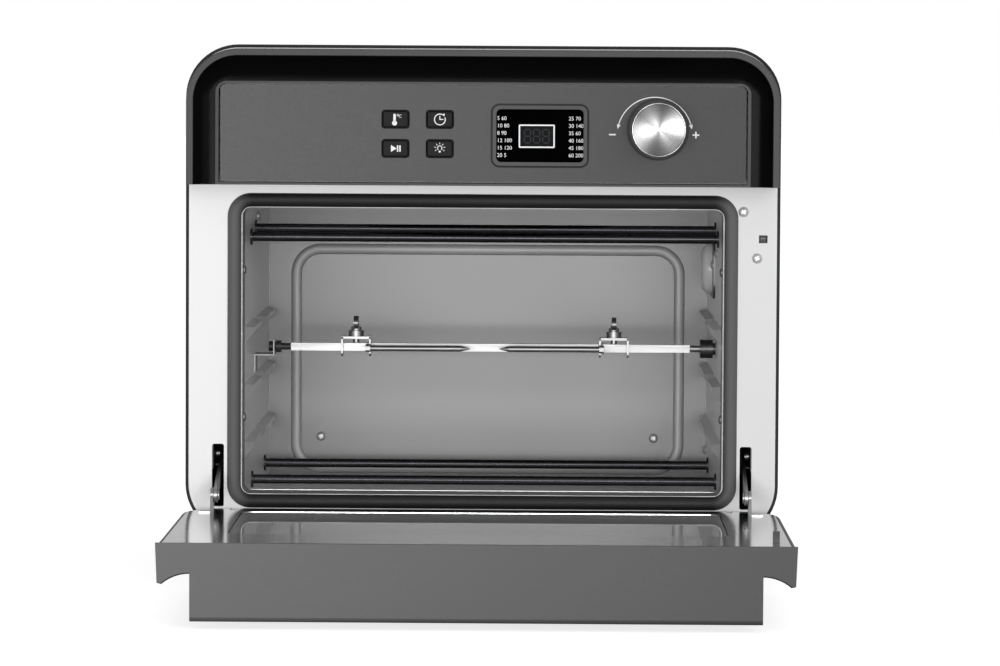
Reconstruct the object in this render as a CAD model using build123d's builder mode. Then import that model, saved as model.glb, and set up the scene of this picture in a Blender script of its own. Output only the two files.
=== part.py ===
"""Oven-type air fryer with its drop-down door open. Millimetres, front towards -Y, +Z up."""
from build123d import *
import math
import os

# ---- body ----
BODY_HALF = 188.5        # half width of the outer wrap
BODY_TOP = 345.5
BODY_BOTTOM = 33.0
BODY_DEPTH = 320.0       # front frame to the rear cover's back
BODY_R = 33.5
WRAP = 2.0               # folded front edge of the outer wrap
SHEET = 0.8              # oven sheet metal
SPACER = 8.0             # bosses that hold the rear cover off a wall
FOOT_H = 20.0
# ---- fascia ----
FASCIA_HALF = BODY_HALF - 1.7
FASCIA_TOP = BODY_TOP - 2.7
FASCIA_H = 85.6
FASCIA_LOW = FASCIA_TOP - FASCIA_H
FASCIA_OUT = 24.5        # fascia's rim in front of the front frame
FASCIA_R = 33.0
RIM_W = 4.6              # grey rim outside the hollow band
PANEL_OUT = 19.5         # control panel's face in front of the front frame
KNOB_X, KNOB_Z = BODY_HALF - 78.5, FASCIA_LOW + 36.2
KNOB_R = 17.0
LENS_X, LENS_Z = 35.8, FASCIA_LOW + 31.8
LENS_W, LENS_H = 55.0, 33.3
BUTTONS = {"temperature": (-55.1, FASCIA_LOW + 41.7), "time": (-27.2, FASCIA_LOW + 41.7),
           "start": (-55.1, FASCIA_LOW + 23.3), "light": (-27.2, FASCIA_LOW + 23.3)}
# ---- door and hinge ----
PIVOT_OUT = 11.0         # hinge axis in front of the front frame
PIVOT_Z = BODY_BOTTOM + 10.2
HINGE_DEPTH = 8.0        # door's inner face to the hinge axis
DOOR_GAP = 1.0           # between the closed door and the fascia
DOOR_HALF = BODY_HALF + 0.5   # at the inner face
DOOR_FOOT = -9.0         # door's hinge edge, from the hinge axis
DOOR_HEAD = FASCIA_LOW - DOOR_GAP - PIVOT_Z      # door's handle edge, from the hinge axis
DOOR_RIM = 24.6          # door thickness at its rim
DOOR_SEAT = 13.9         # depth of the seat for outer glass and band
GLASS_FACE = 18.4        # depth of the outer glass face
HANDLE_DEPTH = 46.6
DOOR_DRAFT = 2.4         # degrees, sides lean in towards the outside
DOOR_LAND = 3.5          # flat rim outside the door's hollow band
PIN_R = 2.5              # hinge pin
WING = 3.0               # thickness of the end cap's wings
# ---- cavity ----
CAV_HALF = BODY_HALF - 35.2
CAV_FLOOR = BODY_BOTTOM + 11.0
CAV_CEIL = FASCIA_LOW - 7.2
CAV_DEPTH = BODY_DEPTH - 20.0
COLLAR_HALF = CAV_HALF - SHEET
COLLAR_LOW, COLLAR_HIGH = CAV_FLOOR + 16.2, CAV_CEIL - 7.7
OPENING_MID = (COLLAR_LOW + COLLAR_HIGH) / 2
SPIT_D, SPIT_Z = 145.0, OPENING_MID - 5.75
SPIT_W = 5.2             # square rod
FAN_D, FAN_R = 150.0, 70.0
SHAFT_R = 3.0            # fan and encoder spindles
ROD_R = 3.0              # heating rods
# ---- clearances ----
RUN = 0.05               # radial play of a pin in its bore
SEAT = 0.02              # radial play of a fixed pin
GAP = 0.3                # between a moving part and its neighbour

FRONT_Y = (PIVOT_OUT + DOOR_HEAD - BODY_DEPTH - SPACER) / 2
HINGE_Y = FRONT_Y - PIVOT_OUT
DOOR = Plane(origin=(0, HINGE_Y, PIVOT_Z + HINGE_DEPTH), x_dir=(1, 0, 0), z_dir=(0, 0, -1))
ARM_V, ARM_UP = 17.0, 18.6           # arm pivot on the door: along it and above the hinge axis
ARM_LEN, ARM_TILT = 68.0, 18.0
ARM_T = 2.0
ARM_Q = (HINGE_Y - ARM_V, PIVOT_Z + ARM_UP)
ARM_R = (ARM_Q[0] + ARM_LEN * math.cos(math.radians(ARM_TILT)),
         ARM_Q[1] + ARM_LEN * math.sin(math.radians(ARM_TILT)))


def front(d):
    """Plane facing forward at depth d behind the front frame; extrusions come forward."""
    return Plane.XZ.offset(-(FRONT_Y + d))


def arch(half, square_end, round_end, radius, mode=Mode.ADD):
    """Plate outline with two square corners and two rounded ones."""
    with BuildLine() as outline:
        FilletPolyline((half, square_end), (half, round_end), (-half, round_end),
                       (-half, square_end), radius=radius)
        Line((-half, square_end), (half, square_end))
    make_face(outline.edges(), mode=mode)


def box_outline(half, low, high, radius, mode=Mode.ADD):
    """Rounded rectangle between two heights, centred across."""
    with Locations((0, (low + high) / 2)):
        RectangleRounded(2 * half, high - low, radius, mode=mode)


# ================= casing =================
with BuildPart() as outer_wrap:
    with BuildSketch(front(BODY_DEPTH - SHEET)):
        box_outline(BODY_HALF, BODY_BOTTOM, BODY_TOP, BODY_R)
        box_outline(BODY_HALF - WRAP, BODY_BOTTOM + WRAP, BODY_TOP - WRAP, BODY_R - WRAP,
                    mode=Mode.SUBTRACT)
    extrude(amount=BODY_DEPTH - SHEET)
    with BuildSketch(front(BODY_DEPTH - SHEET)):                # thin behind the folded edge
        box_outline(BODY_HALF - SHEET, BODY_BOTTOM + SHEET, BODY_TOP - SHEET, BODY_R - SHEET)
    extrude(amount=BODY_DEPTH - SHEET - 9, mode=Mode.SUBTRACT)
    with BuildSketch(Plane.YZ.offset(-BODY_HALF - 5)):       # cooling slots through both sides
        for row in range(2):
            with Locations((FRONT_Y + BODY_DEPTH - 95, BODY_TOP - 60.5 - 16 * row)):
                with GridLocations(10, 10, 12, 1):
                    SlotOverall(12, 3.4, rotation=90)
    extrude(amount=2 * BODY_HALF + 10, mode=Mode.SUBTRACT)
outer_wrap.part.label = "outer_wrap"

GLAND_X, GLAND_Z = 58.5 - BODY_HALF, BODY_BOTTOM + 72.0
GLAND_R = 4.0
SPACER_SPOTS = [(s * (BODY_HALF - 38.5), z) for s in (-1, 1)
                for z in (BODY_BOTTOM + 37, BODY_TOP - 35.5)]
with BuildPart() as rear_cover:
    with BuildSketch(front(BODY_DEPTH)):
        box_outline(BODY_HALF, BODY_BOTTOM, BODY_TOP, BODY_R)
        with Locations((GLAND_X, GLAND_Z)):
            Circle(GLAND_R + 3.2, mode=Mode.SUBTRACT)
        with Locations((0, BODY_TOP - 49.5)):
            with GridLocations(13, 22, 15, 2):
                SlotOverall(16, 4, rotation=90, mode=Mode.SUBTRACT)
        with Locations((40, BODY_BOTTOM + 87)):
            with GridLocations(13, 22, 9, 2):
                SlotOverall(16, 4, rotation=90, mode=Mode.SUBTRACT)
    extrude(amount=SHEET)
    with BuildSketch(front(BODY_DEPTH + SPACER)):
        with Locations(*SPACER_SPOTS):
            Circle(11)
    extrude(amount=SPACER)
rear_cover.part.label = "rear_cover"

PAN_HALF, PAN_DEPTH, PAN_T = BODY_HALF - 13.5, BODY_DEPTH - 24.0, 1.5
with BuildPart() as base_pan:
    with BuildSketch(Plane.XY.offset(FOOT_H)):
        with Locations((0, FRONT_Y + BODY_DEPTH / 2 + 1)):
            RectangleRounded(2 * PAN_HALF, PAN_DEPTH, 22)
    extrude(amount=BODY_BOTTOM - FOOT_H)
    with BuildSketch(Plane.XY.offset(FOOT_H + PAN_T)):
        with Locations((0, FRONT_Y + BODY_DEPTH / 2 + 1)):
            RectangleRounded(2 * (PAN_HALF - PAN_T), PAN_DEPTH - 2 * PAN_T, 22 - PAN_T)
    extrude(amount=BODY_BOTTOM - FOOT_H, mode=Mode.SUBTRACT)
    with BuildSketch(Plane.XY.offset(FOOT_H - 1)):
        with Locations((0, FRONT_Y + BODY_DEPTH / 2 + 1)):
            with GridLocations(14, 70, 15, 2):
                SlotOverall(40, 5, rotation=90)
    extrude(amount=4, mode=Mode.SUBTRACT)
base_pan.part.label = "base_pan"

FOOT_SPOTS = [(s * (PAN_HALF - 27), FRONT_Y + d) for s in (-1, 1) for d in (42, BODY_DEPTH - 39)]
with BuildPart() as feet:
    with BuildSketch(Plane.XY):
        with Locations(*FOOT_SPOTS):
            Circle(15)
    extrude(amount=8)
    with BuildSketch(Plane.XY.offset(8)):
        with Locations(*FOOT_SPOTS):
            Circle(18)
    extrude(amount=FOOT_H - 8)
feet.part.label = "feet"

SLOT_X, SLOT_W, SLOT_Z = BODY_HALF - 20.7, 7.6, (PIVOT_Z + 8.6, PIVOT_Z + 48.6)
EAR_X, EAR_T = BODY_HALF - 31.5, 2.5
SWITCH_X, SWITCH_Z = BODY_HALF - 10.7, FASCIA_LOW - 33.2
FRAME_SCREWS = [(BODY_HALF - x, FASCIA_LOW - z) for x, z in ((23.3, 16.0), (14.5, 45.4))]
SCREW_R = 1.75
with BuildPart() as front_frame:
    with BuildSketch(front(2)):
        box_outline(BODY_HALF - WRAP, BODY_BOTTOM + WRAP, BODY_TOP - WRAP, BODY_R - WRAP)
        box_outline(COLLAR_HALF + SHEET, COLLAR_LOW - SHEET, COLLAR_HIGH + SHEET, 6,
                    mode=Mode.SUBTRACT)
        with Locations((-SLOT_X, sum(SLOT_Z) / 2), (SLOT_X, sum(SLOT_Z) / 2)):
            RectangleRounded(SLOT_W, SLOT_Z[1] - SLOT_Z[0], 1.5, mode=Mode.SUBTRACT)
        with Locations((-EAR_X, PIVOT_Z + 2.3), (EAR_X, PIVOT_Z + 2.3)):
            Rectangle(EAR_T + 0.2, 6.4, mode=Mode.SUBTRACT)
        with Locations((SWITCH_X, SWITCH_Z)):
            Rectangle(5.5, 5.0, mode=Mode.SUBTRACT)
        with Locations(*FRAME_SCREWS):
            Circle(SCREW_R + 0.05, mode=Mode.SUBTRACT)
        with Locations((20, FASCIA_LOW + 32.8)):
            RectangleRounded(240, 40, 6, mode=Mode.SUBTRACT)
    extrude(amount=2)
front_frame.part.label = "front_frame"

# ================= fascia =================
COVE_OUT, COVE_TOP_OUT = FASCIA_HALF - RIM_W, FASCIA_TOP - RIM_W + 0.2     # hollow band starts
COVE_IN, COVE_TOP_IN = COVE_OUT - 13.6, COVE_TOP_OUT - 16.0             # and ends
COVE_DEEP = 6.0
with BuildPart() as fascia_rim:
    with BuildSketch(front(0)):
        arch(FASCIA_HALF, FASCIA_LOW, FASCIA_TOP, FASCIA_R)
    extrude(amount=FASCIA_OUT)
    edge = fascia_rim.faces().sort_by(Axis.Y)[0].edges().filter_by(
        lambda e: e.center().Z > FASCIA_LOW + 1)
    fillet(edge, 1.5)
    with BuildSketch(front(-12.5)):                             # seat of the black band
        arch(COVE_OUT + 0.4, FASCIA_LOW - 5, COVE_TOP_OUT + 0.4, FASCIA_R - RIM_W)
    extrude(amount=20, mode=Mode.SUBTRACT)
    with BuildSketch(front(0)):                                 # room behind
        arch(COVE_OUT + 1, FASCIA_LOW + 1.5, COVE_TOP_OUT + 1, FASCIA_R - RIM_W - 0.4)
    extrude(amount=10.5, mode=Mode.SUBTRACT)
    with BuildSketch(front(-10.5)):                             # inner rim round the panel
        arch(COVE_IN, FASCIA_LOW, COVE_TOP_IN, 7)
    extrude(amount=8.4)
    with BuildSketch(front(-10)):
        arch(COVE_IN - 2, FASCIA_LOW + 1.5, COVE_TOP_IN - 1.4, 5)
    extrude(amount=12, mode=Mode.SUBTRACT)
fascia_rim.part.label = "fascia_rim"


def cove_steps(rise, run, count=4):
    """Fractions across a hollow band and the matching depths below its outer edge."""
    radius = (run * run + rise * rise) / (2 * rise)
    full = math.asin(run / radius)
    for i in range(count):
        a = full * (1 - i / (count - 1))
        yield radius * math.sin(a) / run, rise - radius * (1 - math.cos(a))


with BuildPart() as fascia_band:
    with BuildSketch(front(-12.5)):
        arch(COVE_OUT + 0.4, FASCIA_LOW, COVE_TOP_OUT + 0.4, FASCIA_R - RIM_W)
        arch(COVE_IN, FASCIA_LOW - 5, COVE_TOP_IN, 7, mode=Mode.SUBTRACT)
    extrude(amount=FASCIA_OUT - 12.5)
    for t, deep in cove_steps(COVE_DEEP, COVE_OUT - COVE_IN):
        with BuildSketch(front(-FASCIA_OUT + deep)):
            arch(COVE_IN + (COVE_OUT - COVE_IN) * t, FASCIA_LOW - 8,
                 COVE_TOP_IN + (COVE_TOP_OUT - COVE_TOP_IN) * t, 7 + 21 * t)
    loft(mode=Mode.SUBTRACT)
fascia_band.part.label = "fascia_band"

CAP_W, CAP_H = 15.8, 10.0
PANEL_HALF, PANEL_LOW, PANEL_HIGH = COVE_IN - 3.2, FASCIA_LOW + 2.5, COVE_TOP_IN - 2.2
with BuildPart() as control_panel:
    with BuildSketch(front(-PANEL_OUT + 3)):
        box_outline(PANEL_HALF, PANEL_LOW, PANEL_HIGH, 3)
        with Locations((KNOB_X, KNOB_Z)):
            Circle(5, mode=Mode.SUBTRACT)
        with Locations((LENS_X, LENS_Z)):
            RectangleRounded(LENS_W, LENS_H, 3, mode=Mode.SUBTRACT)
        with Locations(*BUTTONS.values()):
            RectangleRounded(CAP_W + 2 * GAP, CAP_H + 2 * GAP, 1.6, mode=Mode.SUBTRACT)
    extrude(amount=3)
    with BuildSketch(front(-PANEL_OUT)):                        # bevelled button recesses
        with Locations(*BUTTONS.values()):
            RectangleRounded(CAP_W + 2, CAP_H + 2, 2.2)
    extrude(amount=-1.5, taper=25, mode=Mode.SUBTRACT)
    with BuildSketch(front(-PANEL_OUT + 6)):                    # legs onto the inner rim's web
        with Locations(*[(s * (PANEL_HALF - 15.4), z) for s in (-1, 1)
                         for z in (PANEL_LOW + 5.3, PANEL_HIGH - 5.2)]):
            Circle(4)
    extrude(amount=3)
control_panel.part.label = "control_panel"

with BuildPart() as display_bezel:
    with BuildSketch(front(-PANEL_OUT)):
        with Locations((LENS_X, LENS_Z)):
            RectangleRounded(LENS_W + 6.8, LENS_H + 6.9, 5.5)
            RectangleRounded(LENS_W, LENS_H, 3, mode=Mode.SUBTRACT)
    extrude(amount=1.6)
    chamfer(display_bezel.faces().sort_by(Axis.Y)[0].outer_wire().edges(), 1.2)
display_bezel.part.label = "display_bezel"

with BuildPart() as display_lens:
    with BuildSketch(front(-PANEL_OUT + 2.4)):
        with Locations((LENS_X, LENS_Z)):
            RectangleRounded(LENS_W - 0.1, LENS_H - 0.1, 2.95)
    extrude(amount=2.8)
display_lens.part.label = "display_lens"

BOARD_D = -6.0
with BuildPart() as control_board:
    with BuildSketch(front(BOARD_D)):
        with Locations((27, FASCIA_LOW + 32.8)):
            RectangleRounded(216, 56, 2)
        with Locations((KNOB_X, KNOB_Z)):
            Circle(1, mode=Mode.SUBTRACT)
    extrude(amount=1.5)
    with BuildSketch(front(BOARD_D - 1.5)):                     # push switches
        with Locations(*BUTTONS.values()):
            Rectangle(6, 6)
    extrude(amount=2.4)
    with BuildSketch(front(BOARD_D - 1.5)):                     # display module
        with Locations((LENS_X, LENS_Z)):
            Rectangle(LENS_W - 5, LENS_H - 4.3)
    extrude(amount=PANEL_OUT - 2.4 - 7.5)
    with BuildSketch(front(BOARD_D - 1.5)):                     # rotary encoder
        with Locations((KNOB_X, KNOB_Z)):
            Rectangle(13, 13)
    extrude(amount=7)
    with BuildSketch(front(BOARD_D - 4)):
        with Locations((KNOB_X, KNOB_Z)):
            Circle(SHAFT_R + RUN)
    extrude(amount=7, mode=Mode.SUBTRACT)
    with BuildSketch(front(0)):                                 # stand-offs on the front frame
        with Locations(*[(x, z) for x in (-76, 130) for z in (FASCIA_LOW + 8.3, FASCIA_LOW + 57.3)]):
            Circle(3)
    extrude(amount=6)
control_board.part.label = "control_board"


def make_button(name, x, z):
    """Rocking-free push cap held behind the panel by its flange, its stem over a switch."""
    with BuildPart() as cap:
        with BuildSketch(front(-PANEL_OUT + 3.3)):
            with Locations((x, z)):
                RectangleRounded(CAP_W, CAP_H, 1.3)
        extrude(amount=3.3 + 0.9)
        fillet(cap.faces().sort_by(Axis.Y)[0].edges(), 0.6)
        with BuildSketch(front(-PANEL_OUT + 4.3)):
            with Locations((x, z)):
                RectangleRounded(CAP_W + 2.2, CAP_H + 2.2, 1.6)
        extrude(amount=1.0)
        with BuildSketch(front(-11.5)):
            with Locations((x, z)):
                Circle(2)
        extrude(amount=3.9)
    cap.part.label = name
    return cap


buttons = [make_button("button_" + key, *spot) for key, spot in BUTTONS.items()]

with BuildPart() as knob_skirt:
    with BuildSketch(front(-PANEL_OUT - 0.4)):
        with Locations((KNOB_X, KNOB_Z)):
            Circle(KNOB_R + 2.5)
    extrude(amount=4.4)
    chamfer(knob_skirt.faces().sort_by(Axis.Y)[0].edges(), 1.6)
    with BuildSketch(front(-PANEL_OUT)):                        # core that carries the cap
        with Locations((KNOB_X, KNOB_Z)):
            Circle(KNOB_R - 3)
            Circle(6, mode=Mode.SUBTRACT)
    extrude(amount=20)
    with BuildSketch(front(-PANEL_OUT - 0.4)):
        with Locations((KNOB_X, KNOB_Z)):
            Circle(30)
            Circle(KNOB_R + 2.6, mode=Mode.SUBTRACT)
    extrude(amount=-2, mode=Mode.SUBTRACT)
    with BuildSketch(front(-PANEL_OUT - 0.4)):
        with Locations((KNOB_X, KNOB_Z)):
            Circle(KNOB_R + 2)
    extrude(amount=-2, mode=Mode.SUBTRACT)
    with BuildSketch(front(BOARD_D - 4.4)):                     # stem into the encoder
        with Locations((KNOB_X, KNOB_Z)):
            Circle(SHAFT_R)
    extrude(amount=22)
knob_skirt.part.label = "knob_skirt"

with BuildPart() as knob_cap:
    with BuildSketch(front(-PANEL_OUT - 4.8)):
        with Locations((KNOB_X, KNOB_Z)):
            Circle(KNOB_R)
    extrude(amount=20.4)
    fillet(knob_cap.faces().sort_by(Axis.Y)[0].edges(), 1.4)
    with BuildSketch(front(-PANEL_OUT - 4.7)):
        with Locations((KNOB_X, KNOB_Z)):
            Circle(KNOB_R - 3 + SEAT)
    extrude(amount=15.4, mode=Mode.SUBTRACT)
knob_cap.part.label = "knob_cap"

# ================= cavity =================
RIVET_D, RIVET_R = 13.6, 2.9
with BuildPart() as cavity_collar:
    with BuildSketch(front(25)):
        box_outline(COLLAR_HALF + SHEET, COLLAR_LOW - SHEET, COLLAR_HIGH + SHEET, 6)
        box_outline(COLLAR_HALF, COLLAR_LOW, COLLAR_HIGH, 5.2, mode=Mode.SUBTRACT)
    extrude(amount=24.5)
    with BuildSketch(front(25)):                                # return down to the floor sheet
        with Locations((0, (CAV_FLOOR + COLLAR_LOW - SHEET) / 2)):
            Rectangle(2 * CAV_HALF - 1, COLLAR_LOW - SHEET - CAV_FLOOR)
    extrude(amount=SHEET)
cavity_collar.part.label = "cavity_collar"

RIB_FIRST, RIB_LAST = CAV_FLOOR + 36, CAV_CEIL - 96     # the last one clears the lamp's frame
RIB_LOW = (RIB_FIRST, (RIB_FIRST + RIB_LAST) / 2, RIB_LAST)
RIB_H, RIB_OUT = 11.0, 6.0
RIB_RUNS = ((27.5, 130.0), (CAV_DEPTH - 140, CAV_DEPTH - 14))
RIB_EDGE, RIB_RAMP = 3.0, 11.0
HEATERS_UP = ((95.0, CAV_CEIL - 29.6), (142.0, CAV_CEIL - 25.5))
HEATERS_LOW = ((108.0, CAV_FLOOR + 15.9), (247.0, CAV_FLOOR + 14.9))
LAMP_D, LAMP_Z = 185.0, CAV_CEIL - 52.5
LAMP_R = 17.0


def make_side(side, name):
    with BuildPart() as wall:
        with BuildSketch(Plane.YZ.offset(side * CAV_HALF)):
            with Locations((FRONT_Y + (CAV_DEPTH + 2) / 2, (CAV_FLOOR - SHEET + CAV_CEIL + SHEET) / 2)):
                Rectangle(CAV_DEPTH - 2, CAV_CEIL - CAV_FLOOR + 2 * SHEET)
            with Locations(*[(FRONT_Y + d, z) for d, z in HEATERS_UP + HEATERS_LOW]):
                Circle(ROD_R + GAP, mode=Mode.SUBTRACT)
            if side > 0:
                with Locations((FRONT_Y + SPIT_D, SPIT_Z)):
                    Circle(5, mode=Mode.SUBTRACT)
                with Locations((FRONT_Y + LAMP_D, LAMP_Z)):
                    Circle(LAMP_R, mode=Mode.SUBTRACT)
        extrude(amount=side * SHEET)
        for skin, base, mode in ((0, CAV_HALF, Mode.ADD), (SHEET, CAV_HALF + SHEET, Mode.SUBTRACT)):
            for low in RIB_LOW:                                 # pressed shelf guides, hollow behind
                for d0, d1 in RIB_RUNS:
                    mid = FRONT_Y + (d0 + d1) / 2
                    with BuildSketch(Plane.YZ.offset(side * base)):
                        with Locations((mid, low + RIB_H / 2)):
                            Rectangle(d1 - d0 - 2 * skin, RIB_H - 2 * skin)
                    with BuildSketch(Plane.YZ.offset(side * (CAV_HALF - RIB_OUT + skin))):
                        with Locations((mid, low + RIB_H - 1 - RIB_EDGE / 2)):
                            Rectangle(d1 - d0 - 2 * RIB_RAMP - 2 * skin, RIB_EDGE - 2 * skin)
                    loft(mode=mode)
    wall.part.label = name
    return wall


cavity_side_left = make_side(-1, "cavity_side_left")
cavity_side_right = make_side(1, "cavity_side_right")

with BuildPart() as cavity_rear_wall:
    with BuildSketch(front(CAV_DEPTH + SHEET)):
        with Locations((0, (CAV_FLOOR + CAV_CEIL) / 2)):
            Rectangle(2 * (CAV_HALF + SHEET), CAV_CEIL - CAV_FLOOR + 2 * SHEET)
    extrude(amount=SHEET)
    with BuildSketch(front(CAV_DEPTH)):                         # raised ring pressed into the wall
        box_outline(CAV_HALF - 16.3, CAV_FLOOR + 4.3, CAV_CEIL - 42.2, 20)
        box_outline(CAV_HALF - 22.3, CAV_FLOOR + 10.3, CAV_CEIL - 48.2, 14, mode=Mode.SUBTRACT)
    extrude(amount=2)
    fillet(cavity_rear_wall.faces().sort_by(Axis.Y)[0].edges(), 1.2)
cavity_rear_wall.part.label = "cavity_rear_wall"

with BuildPart() as cavity_floor:
    with BuildSketch(Plane.XY.offset(CAV_FLOOR - SHEET)):
        with Locations((0, FRONT_Y + (CAV_DEPTH + 24.2) / 2)):
            Rectangle(2 * CAV_HALF, CAV_DEPTH - 24.2)
    extrude(amount=SHEET)
    with BuildSketch(front(31.0)):                              # upturned front lip
        with Locations((0, (CAV_FLOOR + COLLAR_LOW) / 2)):
            Rectangle(2 * CAV_HALF - 2, COLLAR_LOW - CAV_FLOOR)
    extrude(amount=SHEET + 0.2)
cavity_floor.part.label = "cavity_floor"

with BuildPart() as cavity_ceiling:
    with BuildSketch(Plane.XY.offset(CAV_CEIL)):
        with Locations((0, FRONT_Y + (CAV_DEPTH + 2) / 2)):
            Rectangle(2 * CAV_HALF, CAV_DEPTH - 2)
        with Locations((0, FRONT_Y + FAN_D)):
            Circle(FAN_R + 6, mode=Mode.SUBTRACT)
    extrude(amount=SHEET)
cavity_ceiling.part.label = "cavity_ceiling"

with BuildPart() as fan_guard:
    with BuildSketch(Plane.XY.offset(CAV_CEIL - 5)):
        with Locations((0, FRONT_Y + FAN_D)):
            Circle(FAN_R + 10)
            with PolarLocations(FAN_R - 14, 24):
                SlotOverall(38, 5, mode=Mode.SUBTRACT)
            with PolarLocations(22, 10):
                SlotOverall(16, 5, mode=Mode.SUBTRACT)
    extrude(amount=1)
    with BuildSketch(Plane.XY.offset(CAV_CEIL - 5)):
        with Locations((0, FRONT_Y + FAN_D)):
            Circle(FAN_R + 11)
            Circle(FAN_R + 10, mode=Mode.SUBTRACT)
    extrude(amount=5)
fan_guard.part.label = "fan_guard"

FAN_TOP = CAV_CEIL + SHEET + 28
with BuildPart() as fan_housing:
    with BuildSketch(Plane.XY.offset(CAV_CEIL + SHEET)):
        with Locations((0, FRONT_Y + FAN_D)):
            Circle(FAN_R + 22)
            Circle(FAN_R + 11, mode=Mode.SUBTRACT)
    extrude(amount=1)
    with BuildSketch(Plane.XY.offset(CAV_CEIL + SHEET)):
        with Locations((0, FRONT_Y + FAN_D)):
            Circle(FAN_R + 12)
            Circle(FAN_R + 11, mode=Mode.SUBTRACT)
    extrude(amount=28)
    with BuildSketch(Plane.XY.offset(FAN_TOP - 1)):
        with Locations((0, FRONT_Y + FAN_D)):
            Circle(FAN_R + 12)
            Circle(SHAFT_R + 2, mode=Mode.SUBTRACT)
    extrude(amount=1)
fan_housing.part.label = "fan_housing"

with BuildPart() as fan_motor:
    with BuildSketch(Plane.XY.offset(FAN_TOP)):                 # mounting feet
        with Locations((0, FRONT_Y + FAN_D)):
            with PolarLocations(30, 4, start_angle=45):
                Circle(4)
    extrude(amount=6)
    with BuildSketch(Plane.XY.offset(FAN_TOP + 6)):
        with Locations((0, FRONT_Y + FAN_D)):
            RectangleRounded(70, 60, 8)
    extrude(amount=30)
    with BuildSketch(Plane.XY.offset(FAN_TOP + 6)):
        with Locations((0, FRONT_Y + FAN_D)):
            Circle(SHAFT_R + RUN)
    extrude(amount=18, mode=Mode.SUBTRACT)
fan_motor.part.label = "fan_motor"

with BuildPart() as fan_wheel:
    with BuildSketch(Plane.XY.offset(CAV_CEIL + 20)):
        with Locations((0, FRONT_Y + FAN_D)):
            Circle(FAN_R)
    extrude(amount=1.2)
    with BuildSketch(Plane.XY.offset(CAV_CEIL + 3)):
        with Locations((0, FRONT_Y + FAN_D)):
            with PolarLocations(FAN_R - 27, 10):
                Rectangle(FAN_R - 18, 1.6)
    extrude(amount=17)
    with BuildSketch(Plane.XY.offset(CAV_CEIL + 3)):
        with Locations((0, FRONT_Y + FAN_D)):
            Circle(18)
    extrude(amount=18)
    with BuildSketch(Plane.XY.offset(CAV_CEIL + 20)):           # motor spindle
        with Locations((0, FRONT_Y + FAN_D)):
            Circle(SHAFT_R)
    extrude(amount=FAN_TOP + 23 - CAV_CEIL - 20)
fan_wheel.part.label = "fan_wheel"


def make_heater(name, rods):
    """Straight tubular rods from wall to wall, a flange against each wall, a terminal outside."""
    with BuildPart() as heater:
        for d, z in rods:
            for half, radius in ((CAV_HALF + 6.7, ROD_R), (CAV_HALF + 9.2, ROD_R / 2)):
                with BuildSketch(Plane.YZ.offset(-half)):
                    with Locations((FRONT_Y + d, z)):
                        Circle(radius)
                extrude(amount=2 * half)
            for s in (-1, 1):
                with BuildSketch(Plane.YZ.offset(s * CAV_HALF)):
                    with Locations((FRONT_Y + d, z)):
                        Circle(ROD_R + 2.5)
                extrude(amount=-s * 1.2)
    heater.part.label = name
    return heater


upper_heaters = make_heater("upper_heaters", HEATERS_UP)
lower_heaters = make_heater("lower_heaters", HEATERS_LOW)

LAMP_Y = FRONT_Y + LAMP_D
with BuildPart() as lamp_bezel:
    with BuildSketch(Plane.YZ.offset(CAV_HALF)):
        with Locations((LAMP_Y, LAMP_Z)):
            RectangleRounded(72, 38, 10)
            Circle(LAMP_R, mode=Mode.SUBTRACT)
    extrude(amount=-1.2)
lamp_bezel.part.label = "lamp_bezel"

with BuildPart() as lamp_lens:
    with BuildSketch(Plane.YZ.offset(CAV_HALF + SHEET + 1)):
        with Locations((LAMP_Y, LAMP_Z)):
            Circle(LAMP_R - 0.1)
    extrude(amount=-(SHEET + 1 + 8))
    fillet(lamp_lens.faces().sort_by(Axis.X)[0].edges(), 6)
    with BuildSketch(Plane.YZ.offset(CAV_HALF + SHEET + 1)):
        with Locations((LAMP_Y, LAMP_Z)):
            Circle(12)
    extrude(amount=-6, mode=Mode.SUBTRACT)
lamp_lens.part.label = "lamp_lens"

with BuildPart() as lamp_bulb:
    with BuildSketch(Plane.YZ.offset(CAV_HALF + SHEET)):         # holder, outside the oven wall
        with Locations((LAMP_Y, LAMP_Z)):
            Circle(22)
            Circle(LAMP_R + 0.1, mode=Mode.SUBTRACT)
    extrude(amount=12)
    with BuildSketch(Plane.YZ.offset(CAV_HALF + SHEET + 12)):
        with Locations((LAMP_Y, LAMP_Z)):
            Circle(22)
    extrude(amount=8)
    with BuildSketch(Plane.YZ.offset(CAV_HALF + 1)):
        with Locations((LAMP_Y, LAMP_Z)):
            Circle(8)
    extrude(amount=SHEET + 11)
lamp_bulb.part.label = "lamp_bulb"

# ================= rotisserie =================
DRIVE_R, NECK_R = 4.0, 2.5
HOOK_X = CAV_HALF - 12.6           # bracket that carries the spit's free end
with BuildPart() as rotisserie_motor:
    with BuildSketch(Plane.YZ.offset(CAV_HALF + SHEET)):
        with Locations((FRONT_Y + SPIT_D, SPIT_Z)):
            Rectangle(64, 30)
    extrude(amount=1.5)
    with BuildSketch(Plane.YZ.offset(CAV_HALF + SHEET + 1.5)):
        with Locations((FRONT_Y + SPIT_D, SPIT_Z)):
            RectangleRounded(48, 48, 6)
    extrude(amount=24)
    with BuildSketch(Plane.YZ.offset(CAV_HALF + SHEET)):
        with Locations((FRONT_Y + SPIT_D, SPIT_Z)):
            Circle(DRIVE_R + RUN)
    extrude(amount=16, mode=Mode.SUBTRACT)
rotisserie_motor.part.label = "rotisserie_motor"

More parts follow.
